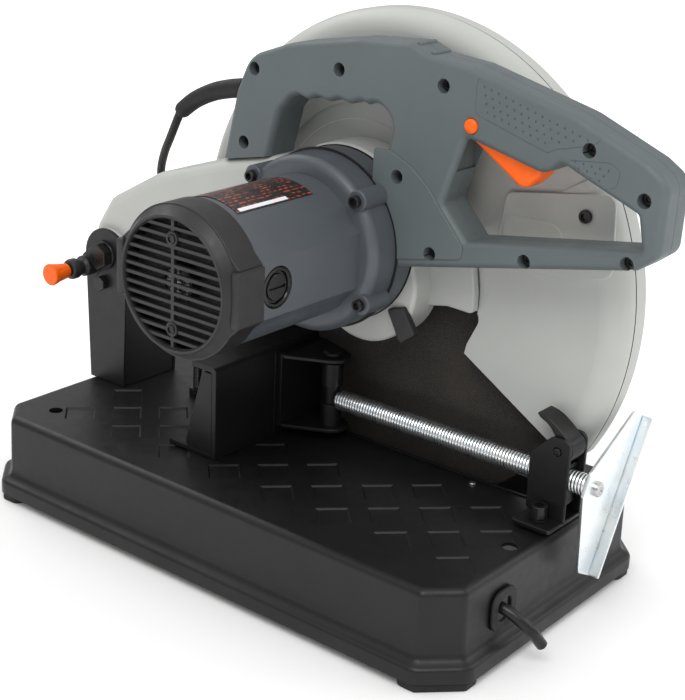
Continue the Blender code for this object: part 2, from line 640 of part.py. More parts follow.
def make_motor():
    """The motor's tube and the slotted black cap on its end."""
    x0, x1, x2, _ = MOTOR_X
    y, z = MOTOR
    radius, hollow = MOTOR_RADIUS, circle(MOTOR, 46, 28)
    body = plate("motor_body", motor_outline(radius), [hollow], x1 + GAP, x2 - GAP, "X", "grey_casting", "arm")
    add_bevel(body, 1.5, angle=60)
    cap = plate("motor_cap", motor_outline(radius + 1.5), [], x0, x1, "X", "black_plastic", "arm")
    pads = rounded([(y - 54.5, z - 19, 3), (y + 54.5, z - 19, 3), (y + 54.5, z + 19, 3), (y - 54.5, z + 19, 3)])
    combine(cap, plate("cap_side_pads", pads, [], x0 + 3, x1 - 0.1, "X", None, "arm"), "UNION")
    combine(cap, plate("cap_hollow", hollow, [], x0 + 4, x1 + 20, "X", None, "arm"))
    combine(cap, plate("cap_seat", motor_outline(radius + GAP), [], x1, x1 + 20, "X", None, "arm"))
    for height in range(-36, 37, 12):
        for side in (-1, 1):
            near, far = sorted((y + 3.5 * side, y + (sqrt(46 ** 2 - height ** 2) - 3) * side))
            cut_box(cap, (x0 - 5, near, z + height - 2.8), (x0 + 10, far, z + height + 2.8), "arm")
    combine(cap, rod("cap_bearing_seat", (x0 + 2, *MOTOR), "X", 16, 14, None, "arm"), "UNION")
    cut_rod(cap, (x0 + 7, *MOTOR), "X", 30, 11.2, "arm")
    make_brushes(body)
    make_motor_inside()
    make_label()


def make_brushes(body):
    """A carbon brush on each side of the commutator, each behind a screwed cap in the motor's flat panel."""
    y, z = MOTOR
    for name, side in (("front", -1), ("rear", 1)):
        well = rod("brush_well_" + name, (BRUSH_X, y + 55 * side + 15, z), "Y", 30, 14.6, None, "arm")
        combine(body, well)
        place = (BRUSH_X, y + (MOTOR_RADIUS - 1) * side + 2, z)
        rod("brush_cap_" + name, place, "Y", 4, 14.2, "black_plastic", "arm", 32)
        near, far = sorted((y + 17.5 * side, y + 44 * side))
        box("carbon_brush_" + name, (BRUSH_X - 4, near, z - 4), (BRUSH_X + 2, far, z + 4), "black_plastic", "arm")


def make_motor_inside():
    """Stator, armature, fan and bearings."""
    x0, _, _, x3 = MOTOR_X
    ring("stator", 28, 45, (-116, *MOTOR), "X", 60, "steel", "arm", 28)
    ring("rear_bearing", 5.3, 11, (x0 + 7.3, *MOTOR), "X", 9, "steel", "arm", 20)
    ring("front_bearing", 6.3, 13, (x3 - 5.5, *MOTOR), "X", 10, "steel", "arm", 20)
    shaft = [(0, x3 + 19.7), (5.6, x3 + 19.7), (5.6, x3 + 5.5), (6, x3 + 5), (6, -40), (8, -40), (8, -134),
             (5, -134), (5, x0 + 7.5), (0, x0 + 7.5)]
    turned("armature_shaft", shaft, (0, *MOTOR), "X", "steel", "armature", 20)
    ring("armature_core", 8.3, 27, (-112, *MOTOR), "X", 54, "copper", "armature", 24)
    ring("commutator", 8.3, 17, (-132, *MOTOR), "X", 18, "copper", "armature", 24)
    fan = ring("cooling_fan", 8.3, 20, (-54, *MOTOR), "X", 6, "black_plastic", "armature", 20)
    blades = 7
    for i in range(blades):
        blade = box(f"fan_blade_{i}", (-53.9, 14, -1), (-43, 40, 1), None, "armature")
        blade.rotation_euler = (2 * pi * i / blades, 0, 0)
        blade.location = Vector((0, *MOTOR)) * MM - bodies["armature"][1]
        combine(fan, blade, "UNION")


def make_label():
    """A plain rating plate curved over the top of the motor."""
    r, t = MOTOR_RADIUS + GAP, 0.5
    x0, x1 = LABEL_X
    swept("rating_label", [(r + t, x0), (r + t, x1), (r, x1), (r, x0)], MOTOR, (62, 118), "label", "arm", 10)


def make_spindle():
    """Everything that turns with the wheel."""
    x0, x1 = WHEEL_X
    shaft = [(0, 65.5), (8, 65.5), (8, 9), (6, 9), (6, 2.6), (0, 2.6)]
    turned("spindle_shaft", shaft, (0, *SPINDLE), "X", "steel", "spindle", 24)
    ring("spindle_bearing_inner", 6.3, 10, (2.6, *SPINDLE), "X", 5, "steel", "arm", 20)
    ring("spindle_bearing_outer", 8.3, 16, (34, *SPINDLE), "X", 9, "steel", "arm", 24)
    teeth = []
    for i in range(GEAR_TEETH * 2):
        radius = 29 if i % 2 else 31.5
        a = pi * i / GEAR_TEETH
        teeth.append((SPINDLE[0] + radius * cos(a), SPINDLE[1] + radius * sin(a)))
    plate("driven_gear", teeth, [circle(SPINDLE, 8.3, 24)], 14, 26, "X", "steel", "spindle")
    ring("inner_flange", 8.3, 24, (x0 - 6.5, *SPINDLE), "X", 6.2, "steel", "spindle", 24)
    ring("outer_flange", 8.3, 24, (x1 + GAP, *SPINDLE), "X", 4.5, "steel", "spindle", 24)
    ring("cutting_wheel", 8.3, WHEEL_RADIUS, (x0, *SPINDLE), "X", x1 - x0, "abrasive", "spindle", 48)
    plate("wheel_nut", shifted(hexagon(24), *SPINDLE), [circle(SPINDLE, 8.3, 24)], x1 + 5.1, x1 + 12, "X",
          "dark_steel", "spindle")


def make_depth_stop():
    """The bolt under the gearcase that meets the table and sets how deep the wheel goes."""
    stop = bolt("depth_stop_bolt", (*STOP, TABLE_Z + GAP), "Z", 6, 13, 0, 0, "dark_steel", "arm")
    combine(stop, rod("stop_stem", (*STOP, TABLE_Z + 3), "Z", 120, STOP_RADIUS, None, "arm", 12), "UNION")


# ---------------------------------------------------------------- handle

def handle_outline():
    """The side view of the handle: rear leg, carrying bar, body beside the gearcase, grip and lower bar."""
    hug = arc(MOTOR, 69.5, 187, 132, 7)
    outer = rounded([(-263, 271, 6), (-280, 284, 10), (-284, 306, 14), (-282, 329, 10), (-266, 342, 14),
                     (-215, 362, 60), (-134, 381, 30), (-100, 384, 6), (-86, 390, 16), (-40, 387, 60),
                     (20, 376, 60), (58, 362, 26), (70, 336, 30), (83, 281.5, 0), (37, 291.5, 0), (26, 330, 12),
                     (0, 345, 14), (-62, 352, 12), (-75, 334, 14), (-66, 304, 4)], 3)
    return outer + list(reversed(hug)) + [(-93, 236)]


def grip_opening():
    return rounded([(-139, 265, 3), (-268, 287, 3), (-263, 309, 4), (-206, 331, 6), (-198, 324, 3), (-191, 322, 3),
                    (-134, 334.5, 3), (-118.5, 287, 4)], 2)


def screw_holes():
    return ((52, 353.5), (-26, 364), (-114, 368), (-81, 299), (-112, 251), (-186, 262), (-255, 277), (-268, 319),
            (-228, 346), (61, 298))


def make_handle():
    """Two moulded halves, with a pocket for the switch and the trigger; the left one has the screw wells."""
    x0, x1, x2 = HANDLE_X
    pocket = [(-194, 310), (-194, 348), (-145, 359.5), (-98, 359.5), (-98, 338), (-124, 338), (-124, 310)]
    wells = [circle(spot, 5.2, 12) for spot in screw_holes()] + [circle(LOCK_BUTTON, 5.4, 20)]
    left = plate("handle_left", handle_outline(), [grip_opening(), *wells], x0, x1, "X", "grey_plastic", "arm")
    combine(left, plate("switch_room_left", pocket, [], x0 + 4, x1 + 5, "X", None, "arm"))
    right = plate("handle_right", handle_outline(), [grip_opening()], x1 + GAP, x2, "X", "grey_plastic", "arm")
    combine(right, plate("switch_room_right", pocket, [], x1 - 5, x2 - 4, "X", None, "arm"))
    box("switch_body", (-6, -128, 342), (14, -102, 358), "black_plastic", "arm")


def make_trigger():
    y, z = TRIGGER_PIVOT
    outline = rounded([(y + 3, z + 4, 2), (y + 3, z - 4, 2), (y - 44, z - 26, 5), (y - 58, z - 18, 5),
                       (y - 55, z - 10, 4), (y - 40, z - 4, 8)], 3)
    plate("trigger", outline, [], HANDLE_X[0] + 6, HANDLE_X[2] - 6, "X", "orange_plastic", "trigger", bevel=2)
    rod("lock_on_button", (HANDLE_X[0] - 3, *LOCK_BUTTON), "X", 6.5, 5, "orange_plastic", "lock_button", 24)


def make_cord():
    """The strain relief at the rear of the handle and the first length of the cord."""
    boot = smooth_path([(4, 74.5, 334), (4, 90, 331), (4, 107, 326), (4.5, 126, 317), (5, 142, 305.5)], 3)
    tube("cord_boot", boot, 6.8, "rubber", "arm")
    lead = smooth_path([(5.4, 143.4, 304), (7.8, 149.5, 296), (14, 162, 281), (25, 180, 263), (37, 196, 244),
                        (46, 204, 226), (49, 205, 206)], 3)
    tube("power_cord", lead, 3.4, "rubber", "arm")


# ---------------------------------------------------------------- assembly

def make_bodies():
    add_body("base", (0, 0, 0))
    add_body("arm", (0, *PIVOT), "base")
    add_body("spindle", (0, *SPINDLE), "arm")
    add_body("armature", (0, *MOTOR), "arm")
    add_body("front_guard", (0, *SPINDLE), "arm")
    add_body("trigger", (0, *TRIGGER_PIVOT), "arm")
    add_body("lock_button", (HANDLE_X[0], *LOCK_BUTTON), "arm")
    add_body("lock_pin", (0, *LOCK_PIN), "base")
    add_body("jaw", (SCREW[0], JAW_PIN_Y, SCREW[1]), "base")
    add_body("screw", (SCREW[0], SCREW_Y[1], SCREW[1]), "jaw")
    add_body("lever", (SCREW[0], *LEVER_PIN), "base")


def make_saw():
    make_bodies()
    make_pan()
    make_feet()
    make_pivot_bracket()
    make_pivot()
    make_lock_pin()
    make_fence()
    make_vise_bracket()
    make_release_lever()
    make_vise_screw()
    make_jaw()
    make_storage()
    make_arm_casting()
    make_guard_cover()
    make_front_guard()
    make_gear_housing()
    make_motor()
    make_spindle()
    make_depth_stop()
    make_handle()
    make_trigger()
    make_cord()


make_saw()
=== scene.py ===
"""Looks of the abrasive chop saw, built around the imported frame.

Shapes are drawn in millimetres from the middle of the base, on the floor, like the CAD, and are
placed in metres. +Z is up, the operator stands at -Y, the motor is at -X and the wheel at +X.
"""
import json
from math import cos, pi, radians, sin, sqrt

import bmesh
import bpy
from mathutils import Matrix, Vector


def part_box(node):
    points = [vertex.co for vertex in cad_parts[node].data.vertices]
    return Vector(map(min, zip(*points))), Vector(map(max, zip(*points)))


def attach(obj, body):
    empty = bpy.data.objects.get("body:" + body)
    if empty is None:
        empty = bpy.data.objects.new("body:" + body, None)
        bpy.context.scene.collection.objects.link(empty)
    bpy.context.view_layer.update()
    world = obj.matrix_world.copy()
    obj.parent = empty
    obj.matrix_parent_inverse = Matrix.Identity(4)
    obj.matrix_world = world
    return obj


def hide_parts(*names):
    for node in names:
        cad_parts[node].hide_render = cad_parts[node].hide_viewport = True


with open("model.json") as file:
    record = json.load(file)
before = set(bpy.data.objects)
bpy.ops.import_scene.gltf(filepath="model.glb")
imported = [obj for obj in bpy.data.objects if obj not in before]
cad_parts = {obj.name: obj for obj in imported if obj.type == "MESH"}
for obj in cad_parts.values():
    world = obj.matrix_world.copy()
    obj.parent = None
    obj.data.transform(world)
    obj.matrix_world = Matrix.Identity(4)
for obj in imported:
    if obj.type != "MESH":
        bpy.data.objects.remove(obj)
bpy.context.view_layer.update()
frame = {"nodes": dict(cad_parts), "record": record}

MM = 0.001
pan_low, pan_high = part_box("base_pan")
MIDDLE = Vector(((pan_low.x + pan_high.x) / 2, (pan_low.y + pan_high.y) / 2, 0))


def span(node):
    """A CAD node's lowest and highest corners in millimetres, measured from the middle of the base."""
    low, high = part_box(node)
    return (low - MIDDLE) / MM, (high - MIDDLE) / MM


def centre(node):
    low, high = span(node)
    return (low + high) / 2


# Driving places, from the frame: (y, z) of the shafts, (x, z) of the screw and the stations along X.
# The small bolt in the left ear is at (y, z). The base's skirt flares out from its front wall.
MOTOR = tuple(centre("stator").yz)
SPINDLE = tuple(centre("cutting_wheel").yz)
PIVOT = tuple(centre("pivot_nut").yz)
SCREW = (centre("vise_screw").x, centre("vise_screw").z)
TABLE = span("base_pan")[1].z
MOTOR_RADIUS = (span("motor_body")[1].y - span("motor_body")[0].y) / 2
HANDLE_LEFT, HANDLE_RIGHT = span("handle_left")[0].x, span("handle_right")[1].x
HANDLE_SEAM = span("handle_left")[1].x
EAR_LEFT, EAR_RIGHT = span("pivot_bracket")[0].x, span("pivot_bracket")[1].x
EAR_BOLT = (205, 157)
FLARE = 9
FRONT = span("base_pan")[0].y + FLARE
TABLE_HOLES = {"left_rear": (-91, 185), "right_rear": (91, 185), "left_front": (-34, -208),
               "right_front": (91, -185)}


# ------------ materials

def new_material(name, colour, rough, metal=0.0):
    made = bpy.data.materials.new(name)
    made.use_nodes = True
    shader = made.node_tree.nodes["Principled BSDF"]
    shader.inputs["Roughness"].default_value = rough
    shader.inputs["Metallic"].default_value = metal
    shader.inputs["Base Color"].default_value = (*colour, 1)
    return made, made.node_tree, shader


def own_space(tree):
    """Places in the object's own space, in metres."""
    return tree.nodes.new("ShaderNodeTexCoord").outputs["Object"]


def add_noise(tree, size, detail=3.0, stretch=(1, 1, 1)):
    """Noise whose features are about size millimetres, in the object's own space."""
    scale = tree.nodes.new("ShaderNodeMapping")
    scale.inputs["Scale"].default_value = stretch
    noise = tree.nodes.new("ShaderNodeTexNoise")
    noise.inputs["Scale"].default_value = 1 / (size * MM)
    noise.inputs["Detail"].default_value = detail
    tree.links.new(own_space(tree), scale.inputs["Vector"])
    tree.links.new(scale.outputs["Vector"], noise.inputs["Vector"])
    return noise.outputs["Fac"]


def add_range(tree, source, low, high, start=0.3, end=0.7):
    node = tree.nodes.new("ShaderNodeMapRange")
    for name, value in (("From Min", start), ("From Max", end), ("To Min", low), ("To Max", high)):
        node.inputs[name].default_value = value
    tree.links.new(source, node.inputs["Value"])
    return node.outputs["Result"]


def add_mix(tree, factor, first, second):
    node = tree.nodes.new("ShaderNodeMix")
    node.data_type = "RGBA"
    for socket, value in (("Factor", factor), ("A", first), ("B", second)):
        target = next(i for i in node.inputs if i.name == socket and i.enabled)
        if isinstance(value, (tuple, float, int)):
            target.default_value = (*value, 1) if isinstance(value, tuple) else value
        else:
            tree.links.new(value, target)
    return next(o for o in node.outputs if o.enabled)


def add_bump(tree, shader, height, depth, strength=1.0):
    """Depth in millimetres. A second bump builds on the first."""
    bump = tree.nodes.new("ShaderNodeBump")
    bump.inputs["Strength"].default_value = strength
    bump.inputs["Distance"].default_value = depth * MM
    tree.links.new(height, bump.inputs["Height"])
    if shader.inputs["Normal"].is_linked:
        tree.links.new(shader.inputs["Normal"].links[0].from_socket, bump.inputs["Normal"])
    tree.links.new(bump.outputs["Normal"], shader.inputs["Normal"])


def surface(name, colour, rough, metal, grain, tone, patch, vary, shine):
    """A finish with fine grain, given as (size, depth), and slow changes of tone and gloss."""
    made, tree, shader = new_material(name, colour, rough, metal)
    shader.inputs["Specular IOR Level"].default_value = shine
    dark = tuple(c * (1 - tone) for c in colour)
    light = tuple(min(c * (1 + tone), 1) for c in colour)
    shade = add_mix(tree, add_range(tree, add_noise(tree, patch, 4), 0, 1), dark, light)
    tree.links.new(shade, shader.inputs["Base Color"])
    gloss = add_range(tree, add_noise(tree, patch / 6, 5), max(rough - vary, 0.05), min(rough + vary, 1))
    tree.links.new(gloss, shader.inputs["Roughness"])
    add_bump(tree, shader, add_noise(tree, grain[0], 2), grain[1])
    return made


def zinc_material():
    """Bright zinc plate: a cool metal with faint yellow and blue clouds."""
    made, tree, shader = new_material("zinc", (0.8, 0.83, 0.85), 0.3, 1.0)
    clouds = add_range(tree, add_noise(tree, 30, 2), 0, 1, 0.35, 0.65)
    shade = add_mix(tree, clouds, (0.80, 0.86, 0.90), (0.88, 0.90, 0.89))
    tree.links.new(shade, shader.inputs["Base Color"])
    tree.links.new(add_range(tree, add_noise(tree, 10, 3), 0.25, 0.36), shader.inputs["Roughness"])
    return made


def abrasive_material():
    """Dark resin with coarse grit, some of it catching the light."""
    made, tree, shader = new_material("abrasive", (0.03, 0.027, 0.024), 0.85)
    cells = tree.nodes.new("ShaderNodeTexVoronoi")
    cells.inputs["Scale"].default_value = 1 / (1.1 * MM)
    tree.links.new(own_space(tree), cells.inputs["Vector"])
    grit = add_range(tree, cells.outputs["Distance"], 0, 1, 0.05, 0.5)
    shade = add_mix(tree, grit, (0.075, 0.062, 0.05), (0.018, 0.016, 0.015))
    shade = add_mix(tree, add_range(tree, add_noise(tree, 30, 4), 0, 0.5), shade, (0.05, 0.042, 0.034))
    tree.links.new(shade, shader.inputs["Base Color"])
    add_bump(tree, shader, cells.outputs["Distance"], 0.35, 0.9)
    return made


def label_material():
    """A black film with plain rows of warm red blocks, which stand for print and spell nothing."""
    film = (0.016, 0.014, 0.014)
    made, tree, shader = new_material("label", (0.02, 0.018, 0.018), 0.32)
    shift = tree.nodes.new("ShaderNodeMapping")
    shift.inputs["Location"].default_value = (0, 0.5 * MM, 0)
    blocks = tree.nodes.new("ShaderNodeTexBrick")
    blocks.offset, blocks.offset_frequency = 0.37, 2
    blocks.squash, blocks.squash_frequency = 1.6, 3
    sizes = {"Scale": 1 / MM, "Mortar Size": 1.0, "Brick Width": 5.5, "Row Height": 3.3, "Mortar Smooth": 0,
             "Bias": 0}
    for socket, value in sizes.items():
        blocks.inputs[socket].default_value = value
    for socket, colour in (("Color1", (0.42, 0.06, 0.03)), ("Color2", (0.2, 0.035, 0.02)), ("Mortar", film)):
        blocks.inputs[socket].default_value = (*colour, 1)
    tree.links.new(own_space(tree), shift.inputs["Vector"])
    tree.links.new(shift.outputs["Vector"], blocks.inputs["Vector"])
    gaps = add_range(tree, add_noise(tree, 9, 1, (1, 2.4, 1)), 0, 1, 0.46, 0.5)
    shade = add_mix(tree, gaps, film, blocks.outputs["Color"])
    tree.links.new(shade, shader.inputs["Base Color"])
    tree.links.new(add_range(tree, add_noise(tree, 8), 0.25, 0.42), shader.inputs["Roughness"])
    return made


def copper_material():
    """Wound and laminated metal, with fine bands along the shaft."""
    made, tree, shader = new_material("copper", (0.7, 0.3, 0.15), 0.4, 1.0)
    bands = add_noise(tree, 1.2, 2, (1, 0.05, 0.05))
    shade = add_mix(tree, add_range(tree, bands, 0, 1), (0.5, 0.2, 0.1), (0.85, 0.42, 0.22))
    tree.links.new(shade, shader.inputs["Base Color"])
    add_bump(tree, shader, bands, 0.1)
    return made


# Colour, roughness, metallic, grain, tone, patch, vary and shine, as surface() takes them
SURFACES = {
    "black_paint": ((0.0085, 0.008, 0.0083), 0.4, 0, (0.9, 0.025), 0.2, 45, 0.05, 0.36),
    "light_casting": ((0.46, 0.468, 0.447), 0.4, 0, (1.1, 0.03), 0.03, 70, 0.05, 0.4),
    "grey_casting": ((0.07, 0.08, 0.091), 0.4, 0, (0.8, 0.03), 0.06, 45, 0.05, 0.5),
    "grey_plastic": ((0.098, 0.117, 0.12), 0.5, 0, (0.55, 0.04), 0.05, 60, 0.05, 0.4),
    "black_plastic": ((0.019, 0.0172, 0.0178), 0.46, 0, (0.5, 0.04), 0.1, 45, 0.06, 0.4),
    "orange_plastic": ((0.93, 0.125, 0.004), 0.38, 0, (1.2, 0.02), 0.06, 12, 0.05, 0.3),
    "gloss_black": ((0.004, 0.004, 0.0042), 0.2, 0, (1.2, 0.01), 0.15, 10, 0.04, 0.4),
    "rubber": ((0.011, 0.0105, 0.0105), 0.6, 0, (0.7, 0.05), 0.25, 20, 0.08, 0.35),
    "dark_steel": ((0.022, 0.021, 0.021), 0.32, 0.5, (0.6, 0.02), 0.25, 8, 0.08, 0.5),
    "steel": ((0.52, 0.52, 0.53), 0.3, 1, (0.5, 0.02), 0.12, 15, 0.08, 0.5),
    "white_film": ((0.78, 0.8, 0.82), 0.4, 0, (0.6, 0.01), 0.03, 10, 0.08, 0.5),
}
PAINTS = {name: surface(name, *finish) for name, finish in SURFACES.items()}
PAINTS |= {"zinc": zinc_material(), "abrasive": abrasive_material(), "label": label_material(),
           "copper": copper_material()}


# ------------ shapes

AXES = {
    "X": Matrix(((0, 0, 1), (1, 0, 0), (0, 1, 0))).to_4x4(),
    "Y": Matrix(((1, 0, 0), (0, 0, -1), (0, 1, 0))).to_4x4(),
    "Z": Matrix.Identity(4),
}


def link(name, data):
    """Adds an object to the scene."""
    thing = bpy.data.objects.new(name, data)
    bpy.context.scene.collection.objects.link(thing)
    return thing


def draft(bm, matrix=None):
    """A mesh object in metres from a bmesh drawn in millimetres. It isn't a piece until fit() names it."""
    if matrix is not None:
        bmesh.ops.transform(bm, matrix=matrix, verts=bm.verts)
    bmesh.ops.remove_doubles(bm, verts=bm.verts, dist=0.002)
    bmesh.ops.recalc_face_normals(bm, faces=bm.faces)
    mesh = bpy.data.meshes.new("draft")
    bm.to_mesh(mesh)
    bm.free()
    mesh.transform(Matrix.Translation(MIDDLE) @ Matrix.Scale(MM, 4))
    return link("draft", mesh)


def circle(middle, radius, sides=48, start=0.0):
    steps = (start + 2 * pi * i / sides for i in range(sides))
    return [(middle[0] + radius * cos(a), middle[1] + radius * sin(a)) for a in steps]


def around(middle, radius, degrees):
    """The point at an angle round the middle."""
    a = radians(degrees)
    return middle[0] + radius * cos(a), middle[1] + radius * sin(a)


def arc(middle, radius, first, last, steps):
    return [around(middle, radius, first + (last - first) * i / steps) for i in range(steps + 1)]


def hexagon(middle, across):
    return circle(middle, across / sqrt(3), 6, pi / 6)


def rounded(corners, steps=6):
    """An outline whose corners (x, y, radius) are rounded with arcs."""
    outline = []
    for i, (x, y, radius) in enumerate(corners):
        here = Vector((x, y))
        before = Vector(corners[i - 1][:2]) - here
        after = Vector(corners[(i + 1) % len(corners)][:2]) - here
        if radius <= 0:
            outline.append((x, y))
            continue
        slope = abs(sin(before.angle(after) / 2) / cos(before.angle(after) / 2))
        reach = min(radius / max(slope, 1e-6), before.length * 0.49, after.length * 0.49)
        middle = here + (before.normalized() + after.normalized()).normalized() * (
            reach * slope / sin(before.angle(after) / 2))
        first = here + before.normalized() * reach - middle
        last = here + after.normalized() * reach - middle
        turn = first.angle_signed(last)
        for k in range(steps + 1):
            spoke = first.copy()
            spoke.rotate(Matrix.Rotation(-turn * k / steps, 2))
            outline.append(tuple(middle + spoke))
    return outline


def panel(low, high, radius):
    """A rounded rectangle between two corners."""
    (u, v), (s, t) = low, high
    return rounded([(u, v, radius), (s, v, radius), (s, t, radius), (u, t, radius)])


def area(loop):
    return sum(a[0] * b[1] - b[0] * a[1] for a, b in zip(loop, loop[1:] + loop[:1])) / 2


def plate(outline, low, high, axis, edge=0.0, holes=(), steps=3):
    """An outline with holes raised along an axis, with round edges. Outlines are (y, z), (x, z) or (x, y)."""
    curve = bpy.data.curves.new("draft", "CURVE")
    curve.dimensions = "2D"
    curve.fill_mode = "BOTH"
    curve.extrude = (high - low) / 2 - edge
    curve.bevel_depth = edge
    curve.offset = -edge
    curve.bevel_resolution = steps
    for i, loop in enumerate((outline, *holes)):
        loop = list(loop)
        if (area(loop) > 0) == bool(i):
            loop.reverse()
        spline = curve.splines.new("POLY")
        spline.points.add(len(loop) - 1)
        for point, (u, v) in zip(spline.points, loop):
            point.co = (u, v, 0, 1)
        spline.use_cyclic_u = True
    middle = (low + high) / 2
    return from_curve(curve, AXES[axis] @ Matrix.Translation((0, 0, -middle if axis == "Y" else middle)))


def from_curve(curve, matrix):
    thing = link("draft", curve)
    graph = bpy.context.evaluated_depsgraph_get()
    mesh = bpy.data.meshes.new_from_object(thing.evaluated_get(graph))
    bpy.data.objects.remove(thing, do_unlink=True)
    bpy.data.curves.remove(curve)
    bm = bmesh.new()
    bm.from_mesh(mesh)
    bpy.data.meshes.remove(mesh)
    return draft(bm, matrix)


def tube(points, radius, sides):
    """A round bar along the points, with filled ends. Radius may be a list, one for each point."""
    curve = bpy.data.curves.new("draft", "CURVE")
    curve.dimensions = "3D"
    curve.bevel_depth = 1.0
    curve.bevel_resolution = sides
    curve.use_fill_caps = True
    spline = curve.splines.new("POLY")
    spline.points.add(len(points) - 1)
    sizes = radius if isinstance(radius, list) else [radius] * len(points)
    for point, place, size in zip(spline.points, points, sizes):
        point.co = (*place, 1)
        point.radius = size
    return from_curve(curve, None)


def box(low, high):
    bm = bmesh.new()
    size = [b - a for a, b in zip(low, high)]
    middle = [(a + b) / 2 for a, b in zip(low, high)]
    bmesh.ops.create_cube(bm, size=1, matrix=Matrix.Translation(middle) @ Matrix.Diagonal((*size, 1)))
    return draft(bm)


def turned(profile, place, axis, sides=48, closed=False):
    """Spins a profile of (radius, height) points about the axis through the place."""
    bm = bmesh.new()
    points = [bm.verts.new((r, 0, h)) for r, h in profile]
    pairs = list(zip(points, points[1:])) + ([(points[-1], points[0])] if closed else [])
    edges = [bm.edges.new(pair) for pair in pairs]
    bmesh.ops.spin(bm, geom=points + edges, cent=(0, 0, 0), axis=(0, 0, 1), angle=2 * pi, steps=sides)
    return draft(bm, Matrix.Translation(place) @ AXES[axis])


def rod(place, axis, length, radius, edge=0.0, sides=40):
    """A turned bar with rounded ends, raised from the place along the axis."""
    angles = [pi / 6 * k for k in range(4)] if edge else [pi / 2]
    first = [(radius - edge + edge * sin(a), edge - edge * cos(a)) for a in angles]
    last = [(r, length - h) for r, h in reversed(first)]
    return turned([(0, 0), *first, *last, (0, length)], place, axis, sides)


def ring(inner, outer, thick, place, axis, chamfer=0.0, sides=48):
    """A flat ring or washer raised from the place, with a chamfer on its first outer edge."""
    edge = [(outer - chamfer, 0), (outer, chamfer)] if chamfer else [(outer, 0)]
    return turned([(inner, 0), *edge, (outer, thick), (inner, thick)], place, axis, sides, closed=True)


def swept(profile, middle, first, last, steps):
    """Sweeps a closed profile of (radius, x) points about the X axis through the middle, between angles."""
    bm = bmesh.new()
    y, z = middle
    start = radians(first)
    ends = [bm.verts.new((x, y + r * cos(start), z + r * sin(start))) for r, x in profile]
    face = bm.faces.new(ends)
    bmesh.ops.spin(bm, geom=[face, *face.edges, *face.verts], cent=(0, y, z), axis=(1, 0, 0),
                   angle=radians(last - first), steps=steps)
    return draft(bm)


def loft(rings, matrix=None):
    """A closed skin through outlines of equal length, given as (outline, z), capped at both ends."""
    bm = bmesh.new()
    loops = [[bm.verts.new((x, y, z)) for x, y in outline] for outline, z in rings]
    bm.faces.new(loops[0])
    bm.faces.new(loops[-1])
    for first, second in zip(loops, loops[1:]):
        for i, (a, b) in enumerate(zip(first, second)):
            bm.faces.new((first[i - 1], a, b, second[i - 1]))
    return draft(bm, matrix)


def threaded_rod(place, length, radius, pitch, depth, sides=32, axis="Y", fine=6):
    """A bar whose surface rises and falls along a helix, and fades out at the ends."""
    rows = int(length / pitch * fine)
    rings = []
    for i in range(rows + 1):
        h = length * i / rows
        fade = min(h, length - h, pitch) / pitch
        waves = [abs((h / pitch - j / sides) % 1 * 2 - 1) for j in range(sides)]
        outline = [around((0, 0), radius - depth * (1 - wave * fade), 360 * j / sides)
                   for j, wave in enumerate(waves)]
        rings.append((outline, h))
    return loft(rings, Matrix.Translation(place) @ AXES[axis])


def between(a, b, c, d, t):
    """The Catmull-Rom point a share t of the way from b to c."""
    return 0.5 * (2 * b + (c - a) * t + (2 * a - 5 * b + 4 * c - d) * t * t
                  + (3 * b - a - 3 * c + d) * t ** 3)


def smooth_path(corners, steps):
    """Points along a smooth curve through the corners."""
    inner = [Vector(corner) for corner in corners]
    ends = [2 * inner[0] - inner[1], *inner, 2 * inner[-1] - inner[-2]]
    runs = zip(ends, ends[1:], ends[2:], ends[3:])
    return [between(*run, k / steps) for run in runs for k in range(steps)] + [inner[-1]]


def smooth_loop(corners, steps):
    """A closed smooth outline through (u, v) corners."""
    n = len(corners)
    runs = [[Vector(corners[(i + k) % n]) for k in (-1, 0, 1, 2)] for i in range(n)]
    return [tuple(between(*run, k / steps)) for run in runs for k in range(steps)]


def bake(thing):
    """Applies the modifiers, and returns the thing."""
    graph = bpy.context.evaluated_depsgraph_get()
    mesh = bpy.data.meshes.new_from_object(thing.evaluated_get(graph))
    thing.modifiers.clear()
    old = thing.data
    thing.data = mesh
    bpy.data.meshes.remove(old)
    return thing


def drop(thing):
    """Removes a draft and its mesh."""
    mesh = thing.data
    bpy.data.objects.remove(thing, do_unlink=True)
    bpy.data.meshes.remove(mesh)


def combine(thing, others, operation):
    """Cuts, joins or intersects a draft with the others, one by one, and uses them up."""
    for other in others:
        step = thing.modifiers.new("step", "BOOLEAN")
        step.operation = operation
        step.object = other
        bake(thing)
        drop(other)
    return thing


def cut(thing, *others):
    return combine(thing, others, "DIFFERENCE")


def join(thing, *others):
    return combine(thing, others, "UNION")


def gather(things):
    """Puts drafts that don't touch in one mesh, so that they cut together."""
    bm = bmesh.new()
    for thing in things:
        bm.from_mesh(thing.data)
    mesh = bpy.data.meshes.new("draft")
    bm.to_mesh(mesh)
    bm.free()
    for thing in things:
        drop(thing)
    return link("draft", mesh)


def soften(thing, width, angle=35):
    """Rounds the edges that are sharper than the angle."""
    bevel = thing.modifiers.new("soften", "BEVEL")
    bevel.width = width * MM
    bevel.segments = 2
    bevel.limit_method = "ANGLE"
    bevel.angle_limit = radians(angle)
    return bake(thing)


def fit(name, thing, paint, body, *nodes, smooth=32):
    """Names a draft, paints it, and makes it ride its body. It stands for the CAD nodes listed."""
    thing.name = name
    thing.data.name = name
    thing.data.materials.clear()
    thing.data.materials.append(PAINTS[paint])
    thing.data.shade_smooth()
    thing.data.set_sharp_from_angle(angle=radians(smooth))
    level = thing.modifiers.new("flat_faces", "WEIGHTED_NORMAL")
    level.keep_sharp = True
    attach(thing, body)
    if nodes:
        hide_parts(*nodes)
    return thing


